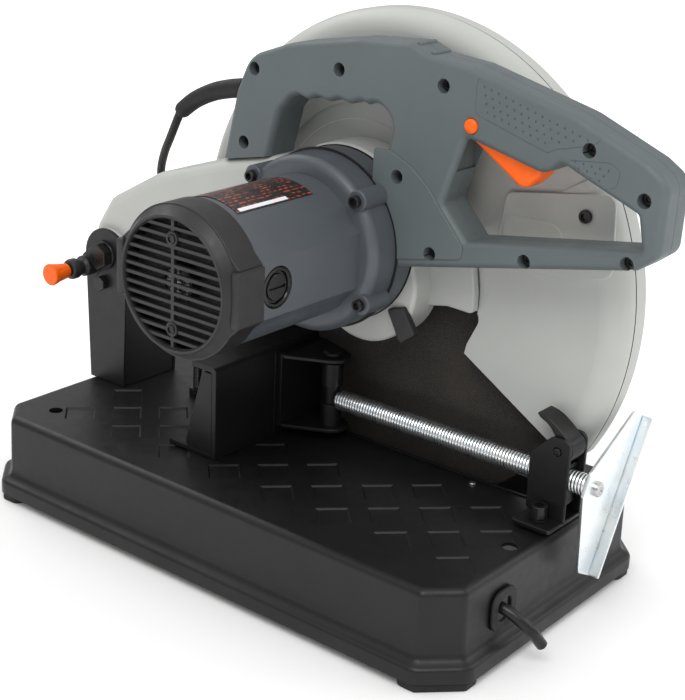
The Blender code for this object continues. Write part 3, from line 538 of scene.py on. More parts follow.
def fit_all(paint, body, **drafts):
    """Fits drafts that share a finish and a body, and stand for no CAD node."""
    for name, thing in drafts.items():
        fit(name, thing, paint, body)


def cap_screw(name, place, axis, sign, body, radius, height):
    """A socket head: a cup with a hexagon well, growing from the place along the axis, or against it."""
    head = rod((0, 0, 0), "Z", height, radius, edge=0.7, sides=28)
    cut(head, plate(hexagon((0, 0), radius * 1.15), height * 0.4, height + 1, "Z"))
    turn = AXES[axis] @ Matrix.Diagonal((1, 1, sign, 1))
    head.data.transform(Matrix.Translation(MIDDLE + Vector(place) * MM) @ turn @ Matrix.Translation(-MIDDLE))
    if sign < 0:
        head.data.flip_normals()
    return fit(name, head, "dark_steel", body)


# ------------ base

def pan_outline(grow):
    """The base's plan, with cut corners, moved outward by grow."""
    high = span("base_pan")[1]
    w, l = high.x - FLARE + grow, high.y - FLARE + grow
    c = 21.5 + grow * (2 - sqrt(2))
    r = 5 + max(grow, 0)
    corners = [(w, -l + c), (w, l - c), (w - c, l), (-w + c, l), (-w, l - c), (-w, -l + c), (-w + c, -l),
               (w - c, -l)]
    return rounded([(*corner, r) for corner in corners], 5)


def grip_pattern():
    """Shallow square dents, turned 45 degrees, in a band along the left of the table and across its front."""
    side, pitch, depth = 23.3, 36.8, 1.1
    dents = []
    for i in range(-8, 10):
        for j in range(-8, 10):
            s, t = -122.2 + pitch * i, 8.2 + pitch * j
            x, y = (s + t) / sqrt(2), (s - t) / sqrt(2)
            in_band = -100 < x < -28 and -203 < y < 172
            in_front = -28 <= x < 12 and -203 < y < -110
            if not (in_band or in_front):
                continue
            top = circle((x, y), side / sqrt(2), 4)
            shrink = 1 - 2.6 / side
            low = [(x + (u - x) * shrink, y + (v - y) * shrink) for u, v in top]
            dents.append(loft([(top, TABLE + 0.6), (top, TABLE + 0.01), (low, TABLE - depth)]))
    return dents


def make_base():
    """The pressed pan: sheet of real thickness with a crowned edge and a flared skirt, and its openings."""
    sheet = 2.2
    crown = [(-6 + 6 * sin(a), TABLE - 6 + 6 * cos(a)) for a in (radians(15 * k) for k in range(7))]
    skirt = [(0.8, 27.0), (1.2, 24.0), (2.2, 21.4), (4.0, 19.4), (6.4, 18.2), (8.0, 17.2), (FLARE, 15.4),
             (FLARE, span("base_pan")[0].z)]
    outside = crown + skirt
    inside = [(grow - sheet, z if z < 60 else z - sheet) for grow, z in reversed(outside)]
    pan = loft([(pan_outline(grow), z) for grow, z in outside + inside])
    left, right, near, far = 39.5, 66, -176, 80
    slot = panel((left, near), (right, far), 4)
    store = panel((-73, 29), (-50, 53), 8)
    holes = [rod((x, y, TABLE - 8), "Z", 16, 5.5) for x, y in TABLE_HOLES.values()]
    openings = [plate(slot, TABLE - 8, TABLE + 8, "Z"), plate(store, FRONT - 8, FRONT + 8, "Y")]
    cut(pan, gather(openings + holes))
    cut(pan, gather(grip_pattern()))
    fit("base_shell", pan, "black_paint", "base", "base_pan")
    rim = panel((left - 2, near - 2), (right + 2, far + 2), 5)
    fit("slot_rim", plate(rim, TABLE - 0.3, TABLE + 1.1, "Z", 0.5, [slot]), "black_paint", "base")
    edge = [(5.6, TABLE + 0.1), (6.8, TABLE + 0.1), (7.2, TABLE - 0.4), (5.6, TABLE - 0.4)]
    for name, (x, y) in TABLE_HOLES.items():
        fit("hole_rim_" + name, turned(edge, (x, y, 0), "Z", 32, closed=True), "black_paint", "base")


def make_feet():
    w, l, c = 131.5, 228.5, 24.5
    corners = [(w, l - c - 14, 7), (w, l - c, 4), (w - c, l, 4), (w - c - 14, l, 7), (w - c - 22, l - 14, 6),
               (w - 14, l - c - 22, 6)]
    for corner in ("front_left", "front_right", "rear_left", "rear_right"):
        high = span("foot_" + corner)[1]
        sx = 1 if high.x > 0 else -1
        sy = 1 if high.y > 0 else -1
        outline = rounded([(x * sx, y * sy, r) for x, y, r in corners])
        foot = plate(outline, 0, high.z, "Z", edge=1.2)
        fit("rubber_foot_" + corner, foot, "rubber", "base", "foot_" + corner)


def make_pivot_bracket():
    """Two ears and a web folded from one sheet, and the lug for the lock pin."""
    foot = TABLE + 0.3
    ear = [(222, foot), *arc((202, 179), 24, -8, 188, 40), (182, foot)]
    lock = tuple(centre("lock_pin_sleeve").yz)
    bore = circle(PIVOT, 8.4)
    left = plate(ear, EAR_LEFT, EAR_LEFT + 3, "X", 0.7, [bore, circle(EAR_BOLT, 3.4, 24)])
    lug = plate(circle(lock, 11, 40), EAR_LEFT - 0.6, EAR_LEFT + 2.4, "X", 0.7, [circle(lock, 6.4, 24)])
    floor = box((EAR_LEFT + 3.2, 184, foot), (EAR_RIGHT - 3.2, 219, foot + 3))
    web = box((EAR_LEFT + 3.2, 182.2, foot), (EAR_RIGHT - 3.2, 185, 148))
    fit("pivot_ear_left", left, "black_paint", "base", "pivot_bracket")
    fit_all("black_paint", "base", pivot_ear_right=plate(ear, EAR_RIGHT - 3, EAR_RIGHT, "X", 0.7, [bore]),
            pivot_floor=soften(floor, 0.6), lock_pin_lug=lug, pivot_web=soften(web, 0.8))


def make_pivot_hardware():
    """The pivot bolt with its washer and nut, and the small bolt in the left ear."""
    low, high = span("pivot_bolt")
    nut_low, nut_high = span("pivot_nut")
    head_end = low.x + 7
    head = plate(hexagon(PIVOT, 18.3), low.x, head_end, "X", 0.8)
    nut = plate(hexagon(PIVOT, 21.6), nut_low.x, nut_high.x, "X", 0.8, [circle(PIVOT, 8.1)])
    fit("pivot_bolt_head", head, "dark_steel", "base", "pivot_bolt")
    fit("pivot_locknut", nut, "dark_steel", "base", "pivot_nut")
    fit_all("dark_steel", "base",
            pivot_bolt_shank=rod((head_end, *PIVOT), "X", high.x - head_end, 7.9, 0.8),
            pivot_washer=ring(8.5, 12, 1.8, (EAR_LEFT - 2.1, *PIVOT), "X", 0.4),
            ear_bolt_head=plate(hexagon(EAR_BOLT, 11), EAR_LEFT - 5.4, EAR_LEFT - 0.4, "X", 0.6),
            ear_bolt_shank=rod((EAR_LEFT - 1, *EAR_BOLT), "X", 5, 3))


def make_lock_pin():
    """A black sleeve with a rounded collar, the sprung pin and the flared, ribbed orange knob."""
    sleeve_low, sleeve_high = span("lock_pin_sleeve")
    y, z = centre("lock_pin_sleeve").yz
    length = sleeve_high.x - sleeve_low.x
    body = [(4.4, 0), (6.4, 0), (7.7, 0.9), (8.4, 2.6), (8.4, 7), (7.6, 9), (6.4, 10.4), (6.4, 13),
            (7.4, 14.4), (8.5, 15.4), (8.5, length), (4.4, length)]
    fit("lock_sleeve", turned(body, (sleeve_low.x, y, z), "X", closed=True), "black_plastic", "base",
        "lock_pin_sleeve")
    knob_low, knob_high = span("lock_knob")
    long = knob_high.x - knob_low.x
    flare = [(0, 0), (7.8, 0), (8.6, 0.5), (8.9, 1.6), (8.4, 4), (7.2, 9), (6.3, long - 2), (6.1, long - 0.6),
             (5.6, long), (0, long)]
    knob = turned(flare, (knob_low.x, y, z), "X")
    notches = [rod((knob_low.x + 5.5, *around((y, z), 9.2, 60 * i + 30)), "X", 18, 2.3, sides=16)
               for i in range(6)]
    fit("lock_knob_cap", soften(cut(knob, gather(notches)), 0.3), "orange_plastic", "lock_pin", "lock_knob")
    start = knob_high.x - 1
    pin = rod((start, y, z), "X", span("lock_pin")[1].x - start, 4, 0.6)
    fit("lock_pin_rod", pin, "dark_steel", "lock_pin", "lock_pin")


def make_fence():
    low, high = span("fence")
    y, z, top = low.y, low.z, high.z
    face = rounded([(y, z, 0), (y + 4, z, 0), (y + 4, top - 4, 2), (y + 25, top - 4, 1), (y + 25, top, 1),
                    (y, top, 3)])
    brace = rounded([(y + 4.1, z + 4.1, 0), (y + 30, z + 4.1, 2), (y + 30, z + 9, 3), (y + 14, top - 5, 3),
                     (y + 4.1, top - 5, 0)])
    facing = panel((-8, z + 2), (high.x - 1, top - 3), 1)
    first, second, seat = (-40, y + 30), (14, y + 30), z + 4.3
    foot = box((low.x + 0.1, y + 4.05, z), (high.x - 0.1, high.y, z + 4))
    cut(foot, *(rod((*spot, z - 5), "Z", 16, 5) for spot in (first, second)))
    fit("fence_face", plate(face, low.x, high.x, "X", 0.7), "black_paint", "base", "fence")
    fit_all("black_paint", "base", fence_foot=soften(foot, 0.7),
            fence_gusset=plate(brace, low.x + 0.1, low.x + 3, "X", 0.6),
            fence_facing=plate(facing, y - 1.1, y - 0.02, "Y", 0.3))
    washer = turned([(4.6, 0), (8.6, 0), (9, 0.3), (9, 1.4), (4.6, 1.4)], (*first, seat), "Z", closed=True)
    head = plate(hexagon(first, 14.4), seat + 1.6, seat + 7, "Z", 0.7)
    fit("fence_bolt_head", head, "dark_steel", "base", "fence_bolt")
    fit_all("dark_steel", "base", fence_washer=washer,
            fence_bolt_second=plate(hexagon(second, 14.4), seat, seat + 6, "Z", 0.7))


def make_storage():
    """The grommet in the front skirt and the wheel wrench that it holds."""
    low, high = span("wrench_grommet")

    def loop(inset, radius):
        return panel((low.x + inset, low.z + inset), (high.x - inset, high.z - inset), radius)

    lip = plate(loop(0, 10), low.y, high.y, "Y", 1.1, [loop(7, 5)])
    fit("storage_grommet", lip, "rubber", "base", "wrench_grommet")
    path = smooth_path([(-61.5, FRONT + 40, 41), (-61.5, FRONT + 8, 41), (-61.5, FRONT - 6, 40),
                        (-56, FRONT - 20, 30), (-47, FRONT - 26, 16)], 6)
    fit("wheel_wrench_bar", soften(tube(path, 4.1, 5), 0.5, angle=60), "dark_steel", "base", "wheel_wrench")


# ------------ vise

def make_vise_bracket():
    """Two cheeks on a foot, the half nut between them, and the screws that hold it to a raised pad."""
    x, z = SCREW
    low, high = span("vise_bracket")
    y0, y1 = low.y, high.y
    pad_top = low.z + 2.9
    pin = tuple(centre("lever_pin").yz)
    cheek = rounded([(y1, low.z + 8, 3), (y1, 121, 5), (-207, 137.2, 6), (y0, 137.2, 6), (y0, low.z + 3, 0),
                     (y0 + 5, low.z + 3, 0)])
    for name, side, *nodes in (("left", -1, "vise_bracket"), ("right", 1)):
        near, far = sorted((x + 9.3 * side, x + 12.3 * side))
        sheet = plate(cheek, near, far, "X", 0.7, [circle(pin, 3.2, 24)])
        fit("vise_cheek_" + name, sheet, "black_paint", "base", *nodes)
    pad = panel((low.x + 3, y0 + 5), (high.x - 3, y1 - 2), 4)
    nut = rounded([(x - 9.2, z - 19, 2), (x + 9.2, z - 19, 2), (x + 9.2, z + 12, 4), (x - 9.2, z + 12, 4)])
    fit_all("black_paint", "base",
            vise_foot=plate(panel((low.x, y0), (high.x, y1), 2), pad_top + 0.1, pad_top + 3.1, "Z", 0.8),
            vise_pad=plate(pad, low.z - 0.1, pad_top, "Z", 0.9),
            vise_half_nut=plate(nut, y0 + 4, y1 - 4, "Y", 0.8, [circle(SCREW, 8.5)]))
    for node in ("vise_bolt_left", "vise_bolt_right"):
        side = node.split("_")[-1]
        seat = Vector((*centre(node).xy, pad_top + 3.2))
        fit("vise_washer_" + side, ring(4.4, 7, 1.4, seat, "Z", 0.4), "dark_steel", "base")
        under = seat + Vector((0, 0, 1.5))
        screw = cap_screw("vise_screw_" + side, under, "Z", 1, "base", 6, span(node)[1].z - under.z)
        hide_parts(node)
    pin_low, pin_high = span("lever_pin")
    rivet = rod((pin_low.x, *pin), "X", pin_high.x - pin_low.x, 3, 0.6, 24)
    fit("lever_rivet", rivet, "dark_steel", "base", "lever_pin")
    fit("table_rivet", rod((30, -133.8, TABLE - 0.4), "Z", 1.6, 2.6, 0.5, 20), "zinc", "base")


def make_lever():
    """The curved thumb lever: a hollow-backed blade whose cam drops onto the screw."""
    low, high = span("release_lever")
    y, z = centre("lever_pin").yz
    blade = [(19.5, 22.8), (18, 19.8), (11.7, 16.6), (6.8, 12), (3.6, 6.6), (5.5, 0), (4.5, -6.5), (-2, -8.6),
             (-7.6, -6.6), (-10.2, -1), (-9.2, 6.2), (-4.5, 10.2), (3, 16.4), (11, 21)]
    blade = smooth_loop([(y + u, z + v) for u, v in blade], 5)
    lever = plate(blade, low.x, high.x, "X", 1.1, [circle((y, z), 3.2, 24)])
    fit("thumb_lever", lever, "black_paint", "lever", "release_lever")


def make_vise_screw():
    """The lead screw, and the crank: a leaning web with a folded, creased lip and a rivet."""
    x, z = SCREW
    low, high = span("vise_screw")
    main = threaded_rod((x, high.y, z), high.y - low.y - 2.4, 8, 2.5, 0.55, fine=8)
    fit("lead_screw", main, "zinc", "screw", "vise_screw", smooth=60)
    front = span("crank_handle")[1].y
    lean = Matrix.Rotation(radians(-28), 2)

    def leaned(outline):
        return [(*(lean @ Vector((u, v)) + Vector(SCREW)), *rest) for u, v, *rest in outline]

    web = rounded(leaned([(-15.5, -8.5, 5), (14, -56, 3), (17, -59, 2), (35, -59, 1.2), (35, 60, 1.2),
                          (19, 60, 3), (-15.5, 8.5, 5)]))
    lip = rounded(leaned([(32.6, -58.8, 0.8), (35, -58.8, 0.8), (35, 59.8, 0.8), (32.6, 59.8, 0.8)]), 4)
    crease = leaned([(31.4, -62), (32.7, -62), (32.7, 62), (31.4, 62)])
    crank = join(plate(web, front - 2.4, front, "Y", 0.5), plate(lip, front - 10, front - 0.6, "Y", 0.5))
    cut(crank, plate(crease, front - 3.2, front - 1.7, "Y"))
    fit("crank", crank, "zinc", "screw", "crank_handle", smooth=40)
    head = [(0, 0), (5.4, 0), (5.4, 2.2), (4.8, 3.1), (2.6, 3.4), (1.8, 2.6), (0, 2.4)]
    fit("crank_rivet", turned(head, (x, front - 2.3, z), "Y", 32), "steel", "screw")


def make_jaw():
    """A folded channel whose flanges end in round noses about the post that takes the screw."""
    x = SCREW[0]
    low, high = span("vise_jaw")
    pin_low, pin_high = span("jaw_pin")
    post = (x, centre("jaw_pin").y)
    back = high.y
    face = box((low.x, back - 4, low.z), (high.x, back, high.z))
    fit("jaw_face", soften(face, 0.8), "black_paint", "jaw", "vise_jaw")
    nose = arc(post, 14, 200, 340, 20)
    plan = [(high.x, back - 4.1), (low.x, back - 4.1), (low.x, back - 7), *nose, (high.x, back - 7)]
    for name, z, collar in (("lower", low.z, low.z + 3.2), ("upper", high.z - 3, SCREW[1] + 11)):
        flange = plate(plan, z, z + 3, "Z", 0.7, [circle(post, 6.3)])
        fit("jaw_flange_" + name, flange, "black_paint", "jaw")
        fit("jaw_collar_" + name, ring(6.2, 8.2, 18, (*post, collar), "Z"), "black_paint", "jaw")
    pin = [(0, pin_high.z), (6.9, pin_high.z), (7.5, pin_high.z - 0.6), (7.5, high.z + 0.3),
           (6.1, high.z + 0.3), (6.1, pin_low.z + 0.5), (5.6, pin_low.z), (0, pin_low.z)]
    fit("jaw_post", turned(pin, (*post, 0), "Z"), "black_paint", "jaw", "jaw_pin")


# ------------ arm and guards

def make_arm():
    """The pivot hub, the crowned arm and the gearcase, in light grey casting, and the housing's tab."""
    beam = rounded([(224, 176, 6), (224, 200, 22), (206, 227, 18), (153, 257, 40), (82, 281, 30),
                    (46, 289, 20), (15, 297, 10), (-19, 305, 4), (-19, 200, 4), (60, 186, 14), (120, 188, 20),
                    (165, 184, 14), (186, 162, 8)], 10)
    arm = plate(beam, -13, 36.6, "X", 9, [circle(PIVOT, 8.5)], steps=6)
    fit("arm_beam", arm, "light_casting", "arm", "arm_casting")
    case = plate(circle(MOTOR, 66, 96), 8.3, 39.2, "X", 3, steps=4)
    join(case, plate(circle(SPINDLE, 47, 72), 8.6, 39.6, "X", 3, steps=4))
    cut(case, rod((0, *SPINDLE), "X", 60, 16.2), rod((0, *MOTOR), "X", 30, 14))
    fit("gearcase", case, "light_casting", "arm", smooth=38)
    hub = plate(circle(PIVOT, 21, 64), span("arm_casting")[0].x, 36.9, "X", 2, [circle(PIVOT, 8.6)])
    web = rounded([(-50, 186, 2), (-62, 184, 6), (-70, 186, 6), (-82, 196.5, 6), (-101, 200.8, 6),
                   (-124, 200, 4), (-124, 215, 8), (-118, 250, 12), (-105, 280, 12), (-80, 292, 12),
                   (-50, 292, 2)], 5)
    fit_all("light_casting", "arm", arm_pivot_hub=hub, guard_web=plate(web, 28, 35.3, "X", 1.6))
    tab = plate(rounded([(-66, 196, 2), (-80, 200, 2), (-92, 182, 3), (-79, 172, 3)]), 4, 10, "X", 0.8)
    fit("housing_tab", tab, "black_plastic", "arm")


def make_depth_stop():
    """The boss under the arm, with the bolt and lock nut that limit the cut."""
    low, high = span("depth_stop_bolt")
    place = tuple(centre("depth_stop_bolt").xy)
    boss = rod((*place, 165), "Z", 28, 8, 0.8)
    cut(boss, rod((*place, 160), "Z", 40, 4.1))
    fit("stop_boss", boss, "light_casting", "arm")
    head = plate(hexagon(place, 12.6), low.z, low.z + 5.6, "Z", 0.6)
    fit("stop_bolt_head", head, "dark_steel", "arm", "depth_stop_bolt")
    fit_all("dark_steel", "arm",
            stop_bolt_stem=threaded_rod((*place, low.z + 5), high.z - low.z - 5, 4, 1.25, 0.5, 20, "Z"),
            stop_locknut=plate(hexagon(place, 12.6), 158.4, 164.7, "Z", 0.6, [circle(place, 4.1, 24)]))


def guard_round(x, r, k, near=True):
    """The quarter round between a guard's near wall, at x, and its rim, of radius k."""
    steps = 10
    loop = [(r - k + k * sin(a), x + k - k * cos(a)) for a in (pi / 2 * i / steps for i in range(steps + 1))]
    return loop if near else loop[::-1]


def make_fixed_guard():
    """The two halves of the fixed guard, which meet in a seam round the rim."""
    low, high = span("guard_cover")
    r, k, t, near, far = 191, 16, 2.5, 38, 68.5
    seam = low.x - 0.3
    wall = [(32, near), *guard_round(near, r, k), (r, seam - 0.4), (r - 0.4, seam), (r - t, seam),
            *guard_round(near + t, r - t, k - t, near=False), (32, near + t)]
    shell = swept(wall, SPINDLE, -5, 188, 140)
    join(shell, plate(crescent_outline(), near - 1.2, near + 0.8, "X", 1.0))
    fit("guard_near_half", shell, "light_casting", "arm", smooth=30)
    cover = [(36, far - t), (r - t, far - t), (r - t, seam + 1.5), (r - 0.4, seam + 1.5), (r, seam + 1.9),
             (r, far - 3), (r - 0.9, far - 0.9), (r - 3, far), (36, far)]
    cover = swept(cover, SPINDLE, -5, 188, 140)
    fit("guard_far_half", cover, "light_casting", "arm", "guard_cover", smooth=30)
    joint = [(r - t, seam + 0.05), (r - 0.4, seam + 0.05), (r - 0.4, seam + 1.45), (r - t, seam + 1.45)]
    fit("guard_seam", swept(joint, SPINDLE, -4.6, 187.6, 140), "rubber", "arm")
    boss = [(0, high.x), (16.2, high.x), (17, high.x - 0.8), (17, far), (37, far), (38, far - 0.6),
            (38, far - t), (0, far - t)]
    fit("guard_boss", turned(boss, (0, *SPINDLE), "X", 64), "light_casting", "arm")
    for i, angle in enumerate((6, 60, 106)):
        cap_screw(f"cover_screw_{i + 1}", (far, *around(SPINDLE, r - 9, angle)), "X", 1, "arm", 4.2, 3.4)


def crescent_outline():
    """A shallow raised crescent that follows the gearcase's rim on the near wall."""
    outer = arc(MOTOR, 92, 20, 118, 28)
    inner = arc((MOTOR[0] + 4, MOTOR[1] - 2), 80, 114, 22, 28)
    return outer + inner


def make_front_guard():
    """The swinging guard round the rim, its link plate and bolt, and the ring that keeps it on."""
    near, far = 35.7, span("front_guard")[1].x
    r, k, t = 197, 18, 2.0
    profile = [(84, near), *guard_round(near, r, k), (r, far - 3), (r - 0.9, far - 0.9), (r - 3, far),
               (30, far), (30, far - t), (r - t, far - t), *guard_round(near + t, r - t, k - t, near=False),
               (84, near + t)]
    guard = swept(profile, SPINDLE, 148, 211, 60)
    cut(guard, plate(guard_opening(), near - 5, near + 6, "X"))
    join(guard, plate(circle(SPINDLE, 34, 64), far - t, far - 0.05, "X", 0, [circle(SPINDLE, 17.4)]))
    fit("swing_guard", guard, "light_casting", "front_guard", "front_guard", smooth=30)
    joint = [(r - 0.6, 54.4), (r + 0.15, 54.6), (r + 0.15, 55.5), (r - 0.6, 55.7)]
    fit("swing_guard_seam", swept(joint, SPINDLE, 148.5, 210.5, 60), "rubber", "front_guard")
    link = rounded([(-141, 292, 6), (-224, 306, 8), (-228, 250, 10), (-196, 240, 10), (-150, 240, 12),
                    (-136, 262, 8)])
    step = rounded([(-142, 276, 10), (-184, 279, 14), (-192, 262, 10), (-186, 244, 8), (-152, 244, 8),
                    (-140, 262, 8)])
    fit_all("light_casting", "front_guard", guard_link_plate=plate(link, near - 2.6, near - 0.2, "X", 1.0),
            guard_link_step=plate(step, near - 3.8, near - 2.4, "X", 0.7))
    cap_screw("guard_link_bolt", (near - 2.6, -204, 288), "X", -1, "front_guard", 4.6, 3.2)
    keeper = ring(17.3, 22, 2, (span("guard_retainer")[0].x, *SPINDLE), "X", 0.4)
    fit("retaining_ring", keeper, "dark_steel", "arm", "guard_retainer")


def guard_opening():
    """What is missing from the near wall of the front guard, round the work and the vise."""
    return rounded([(-20, 203, 0), (-121, 203, 4), (-125.5, 194, 8), (-116, 174, 14), (-113, 160, 12),
                    (-119, 151, 10), (-148, 139, 14), (-163, 123, 10), (-180, 112, 8), (-205, 80, 0),
                    (-20, 60, 0)], 5)


# ------------ motor

def motor_outline(radius):
    """Round above and below, with an upright flat panel on the front and the rear between crisp ridges."""
    y, z = MOTOR
    flat = 20
    corners = [(y + radius, z + flat, 1.3), *((u, v, 0) for u, v in arc(MOTOR, radius, 30, 150, 36)),
               (y - radius, z + flat, 1.3), (y - radius, z - flat, 1.3),
               *((u, v, 0) for u, v in arc(MOTOR, radius, 210, 330, 36)), (y + radius, z - flat, 1.3)]
    return rounded(corners, 3)


def make_motor_body():
    """The motor's tube with wells for the brush caps, the flange with its lugs, and the four long screws."""
    low, high = span("motor_body")
    r = MOTOR_RADIUS
    body = plate(motor_outline(r), low.x, high.x, "X", 0.5, [circle(MOTOR, 46, 48)], 2)
    brush_x = centre("brush_cap_front").x
    wells = [rod((brush_x, MOTOR[0] + y, MOTOR[1]), "Y", 20, 14.5, sides=56) for y in (8 - r, r + 12)]
    fit("motor_tube", cut(body, gather(wells)), "grey_casting", "arm", "motor_body")
    round_edge = [(57 + 7 * sin(a), 7 - 7 * cos(a)) for a in (radians(10 * k) for k in range(10))]
    rim = turned([(46.2, 0), *round_edge, (46.2, 7)], (-37, *MOTOR), "X", 112, closed=True)
    places = [around(MOTOR, 63, angle) for angle in (41, 139, 210, 330)]
    lugs = [plate(circle(place, 7.6, 36), -37.6, -12.6, "X", 1.2) for place in places]
    fit("motor_flange", join(rim, *lugs), "grey_casting", "arm", smooth=38)
    for i, place in enumerate(places):
        cap_screw(f"housing_bolt_{i + 1}", (-37.7, *place), "X", -1, "arm", 4.4, 4.4)


def make_gear_housing():
    """The dark, plain round housing between the motor and the casting, its bearing wall and its gaskets."""
    low, high = -30, 8
    long = high - low
    profile = [(57, 0.1), (64, 0.1), (64, long - 0.8), (63.2, long), (57, long)]
    shell = turned(profile, (low, *MOTOR), "X", 112, closed=True)
    fit("fan_housing", shell, "grey_casting", "arm", "gear_housing")
    bores = [circle(MOTOR, 13.3, 32), circle(SPINDLE, 10.3, 32)]
    wall = plate(circle(MOTOR, 56.8, 72), high - 6, high - 0.2, "X", 0, bores)
    fit("bearing_wall", wall, "grey_casting", "arm")
    fit_all("rubber", "arm", housing_gasket=ring(60, 64.6, 0.9, (high + 0.02, *MOTOR), "X", sides=112),
            handle_gasket=ring(64.1, 65.9, 0.9, (HANDLE_LEFT - 0.5, *MOTOR), "X", sides=112))


def grille_slots(x):
    """Fourteen level slots on each side of a middle rib, which end on a circle."""
    y, z = MOTOR
    reach, pitch, half, rib = 43.5, 6.3, 2.05, 1.25
    slots = []
    for row in range(14):
        mid = (row - 6.5) * pitch
        width = [sqrt(reach ** 2 - (mid + step * half) ** 2) for step in (-1, 0, 1)]
        for side in (-1, 1):
            ends = [(y + rib * side, z + mid - half), (y + width[0] * side, z + mid - half),
                    (y + width[1] * side, z + mid), (y + width[2] * side, z + mid + half),
                    (y + rib * side, z + mid + half)]
            slots.append(plate(ends, x - 5, x + 8, "X"))
    return slots


def make_motor_cap():
    """The black end cap: a grille inside a thin ridge, a sloping border and a raised pad on each side."""
    y, z = MOTOR
    x0, x1 = span("motor_cap")[0].x, span("motor_body")[0].x - 0.1
    r = MOTOR_RADIUS + 1.5
    cap = plate(motor_outline(r), x0 + 7.6, x1, "X", 0.9)
    border = [(0, 1.9), (43.7, 1.9), (44.0, 0.5), (44.5, 0), (45.8, 0), (46.3, 0.5), (46.6, 1.9),
              (r - 1, 7.9), (r - 0.2, 9.6), (0, 9.6)]
    join(cap, turned(border, (x0, y, z), "X", 112))
    cut(cap, plate(circle(MOTOR, 46.5, 72), x0 + 5, x1 + 5, "X"))
    cut(cap, gather(grille_slots(x0)))
    heights = {"upper": z + 30.6, "lower": z - 30.6}
    bosses = [rod((x0 + 0.8, y, height), "X", 5, 5, 0.5, 28) for height in reversed(heights.values())]
    fit("cap_grille", join(cap, *bosses), "black_plastic", "arm", "motor_cap", smooth=34)
    for name, height in heights.items():
        cap_screw("cap_screw_" + name, (x0 + 1.2, y, height), "X", -1, "arm", 3.4, 1.6)
    for name, side in (("front", -1), ("rear", 1)):
        near, far = sorted((y + (r - 4) * side, y + (r + 2.6) * side))
        pad = plate(panel((near, z - 19), (far, z + 19), 1.6), x0 + 4.4, x1 - 0.05, "X", 1.5, steps=2)
        fit("cap_pad_" + name, pad, "black_plastic", "arm", smooth=20)
    fit_all("rubber", "arm", cap_bearing_seat=ring(11.2, 14, 11, (x0 + 6, *MOTOR), "X"),
            cap_baffle=ring(14.5, 44.4, 0.6, (x0 + 14, *MOTOR), "X"))


def make_brush_caps():
    """Glossy screwed caps with a coin slot, sunk in the motor's side panels."""
    dish = [(0, 1.2), (8.8, 1.2), (9.2, 1.5), (9.4, 2.6), (10.6, 2.6), (10.9, 1.4), (11.4, 0.8), (13.1, 0.7),
            (13.8, 1.0), (14.1, 1.6), (14.1, 5.5), (0, 5.5)]
    for name, side in (("front", -1), ("rear", 1)):
        low, high = span("brush_cap_" + name)
        place = centre("brush_cap_" + name)
        place.y = low.y if side < 0 else high.y
        cap = turned([(a, b * side) for a, b in dish], place, "Y", 64)
        reach = Vector((8, 2.5, 1))
        notch = box(place - reach, place + reach)
        fit("brush_cover_" + name, cut(cap, notch), "gloss_black", "arm", "brush_cap_" + name)


def make_label():
    """The plain rating film with its white strip."""
    low, high = span("rating_label")
    r = MOTOR_RADIUS + 0.25
    film = swept([(r + 0.25, low.x), (r + 0.25, high.x), (r, high.x), (r, low.x)], MOTOR, 62, 118, 40)
    fit("rating_film", film, "label", "arm", "rating_label")
    first, last = low.x + 3, low.x + 50
    band = [(r + 0.5, first), (r + 0.5, last), (r + 0.28, last), (r + 0.28, first)]
    strip = swept(band, MOTOR, 113.4, 116.8, 8)
    fit("rating_strip", strip, "white_film", "arm")


# ------------ wheel and drive

def make_wheel():
    """The abrasive disc and the two flanges that clamp it."""
    low, high = span("cutting_wheel")
    r = (high.y - low.y) / 2
    rim = [(8.3, 0), (r - 0.4, 0), (r, 0.4), (r, 2.6), (r - 0.4, 3), (8.3, 3)]
    disc = turned(rim, (low.x, *SPINDLE), "X", 160, closed=True)
    fit("abrasive_disc", disc, "abrasive", "spindle", "cutting_wheel")
    for name, side in (("inner", -1), ("outer", 1)):
        flange_low, flange_high = span(name + "_flange")
        thick = flange_high.x - flange_low.x
        shape = [(8.3, 0), (22.6, 0), (24, 1.2), (24, thick), (8.3, thick)]
        if side > 0:
            shape = [(a, thick - b) for a, b in shape]
        flange = turned(shape, (flange_low.x, *SPINDLE), "X", 64, closed=True)
        fit(name + "_wheel_flange", flange, "steel", "spindle", name + "_flange")


# ------------ handle

def handle_outline():
    """The handle's side, with scallops under the carrying bar, run on into the motor and the rear leg."""
    waves = [(y, 338.6 + 0.075 * (18 - y) + 1.3 * cos((y - 12) * 2 * pi / 19)) for y in range(12, -53, -3)]
    outer = rounded([(-40, 225.1, 0), (-265.6, 273.5, 9), (-281, 285.5, 10), (-282, 332, 14), (-266, 342, 14),
                     (-215, 362, 60), (-134, 381, 30), (-100, 384, 6), (-86, 390, 16), (-40, 387, 60),
                     (20, 376, 60), (58, 362, 26), (70, 336, 30), (86, 266, 6), (42, 272, 6), (28, 326, 10),
                     (18, 337.5, 0)], 8)
    inner = rounded([(18, 337.5, 0), (-62, 346, 14), (-75, 334, 14), (-66, 304, 4), (-40, 265, 0)], 8)[1:]
    return outer + waves + inner


def grip_opening():
    return rounded([(-139, 265, 3), (-268, 287, 3), (-263, 309, 4), (-206, 331, 6), (-198, 324, 8),
                    (-191, 322, 8), (-134, 334.5, 3), (-118.5, 287, 4)], 7)


HANDLE_SCREWS = ((52, 353.5), (-26, 364), (-114, 366), (-81, 299), (-112, 251), (-186, 262), (-260, 277),
                 (-267, 319), (-226, 343), (61, 298))


def slab(thing, low, high):
    """A copy of what lies between two stations along X."""
    return combine(link("draft", thing.data.copy()), [box((low, -400, 0), (high, 400, 500))], "INTERSECT")


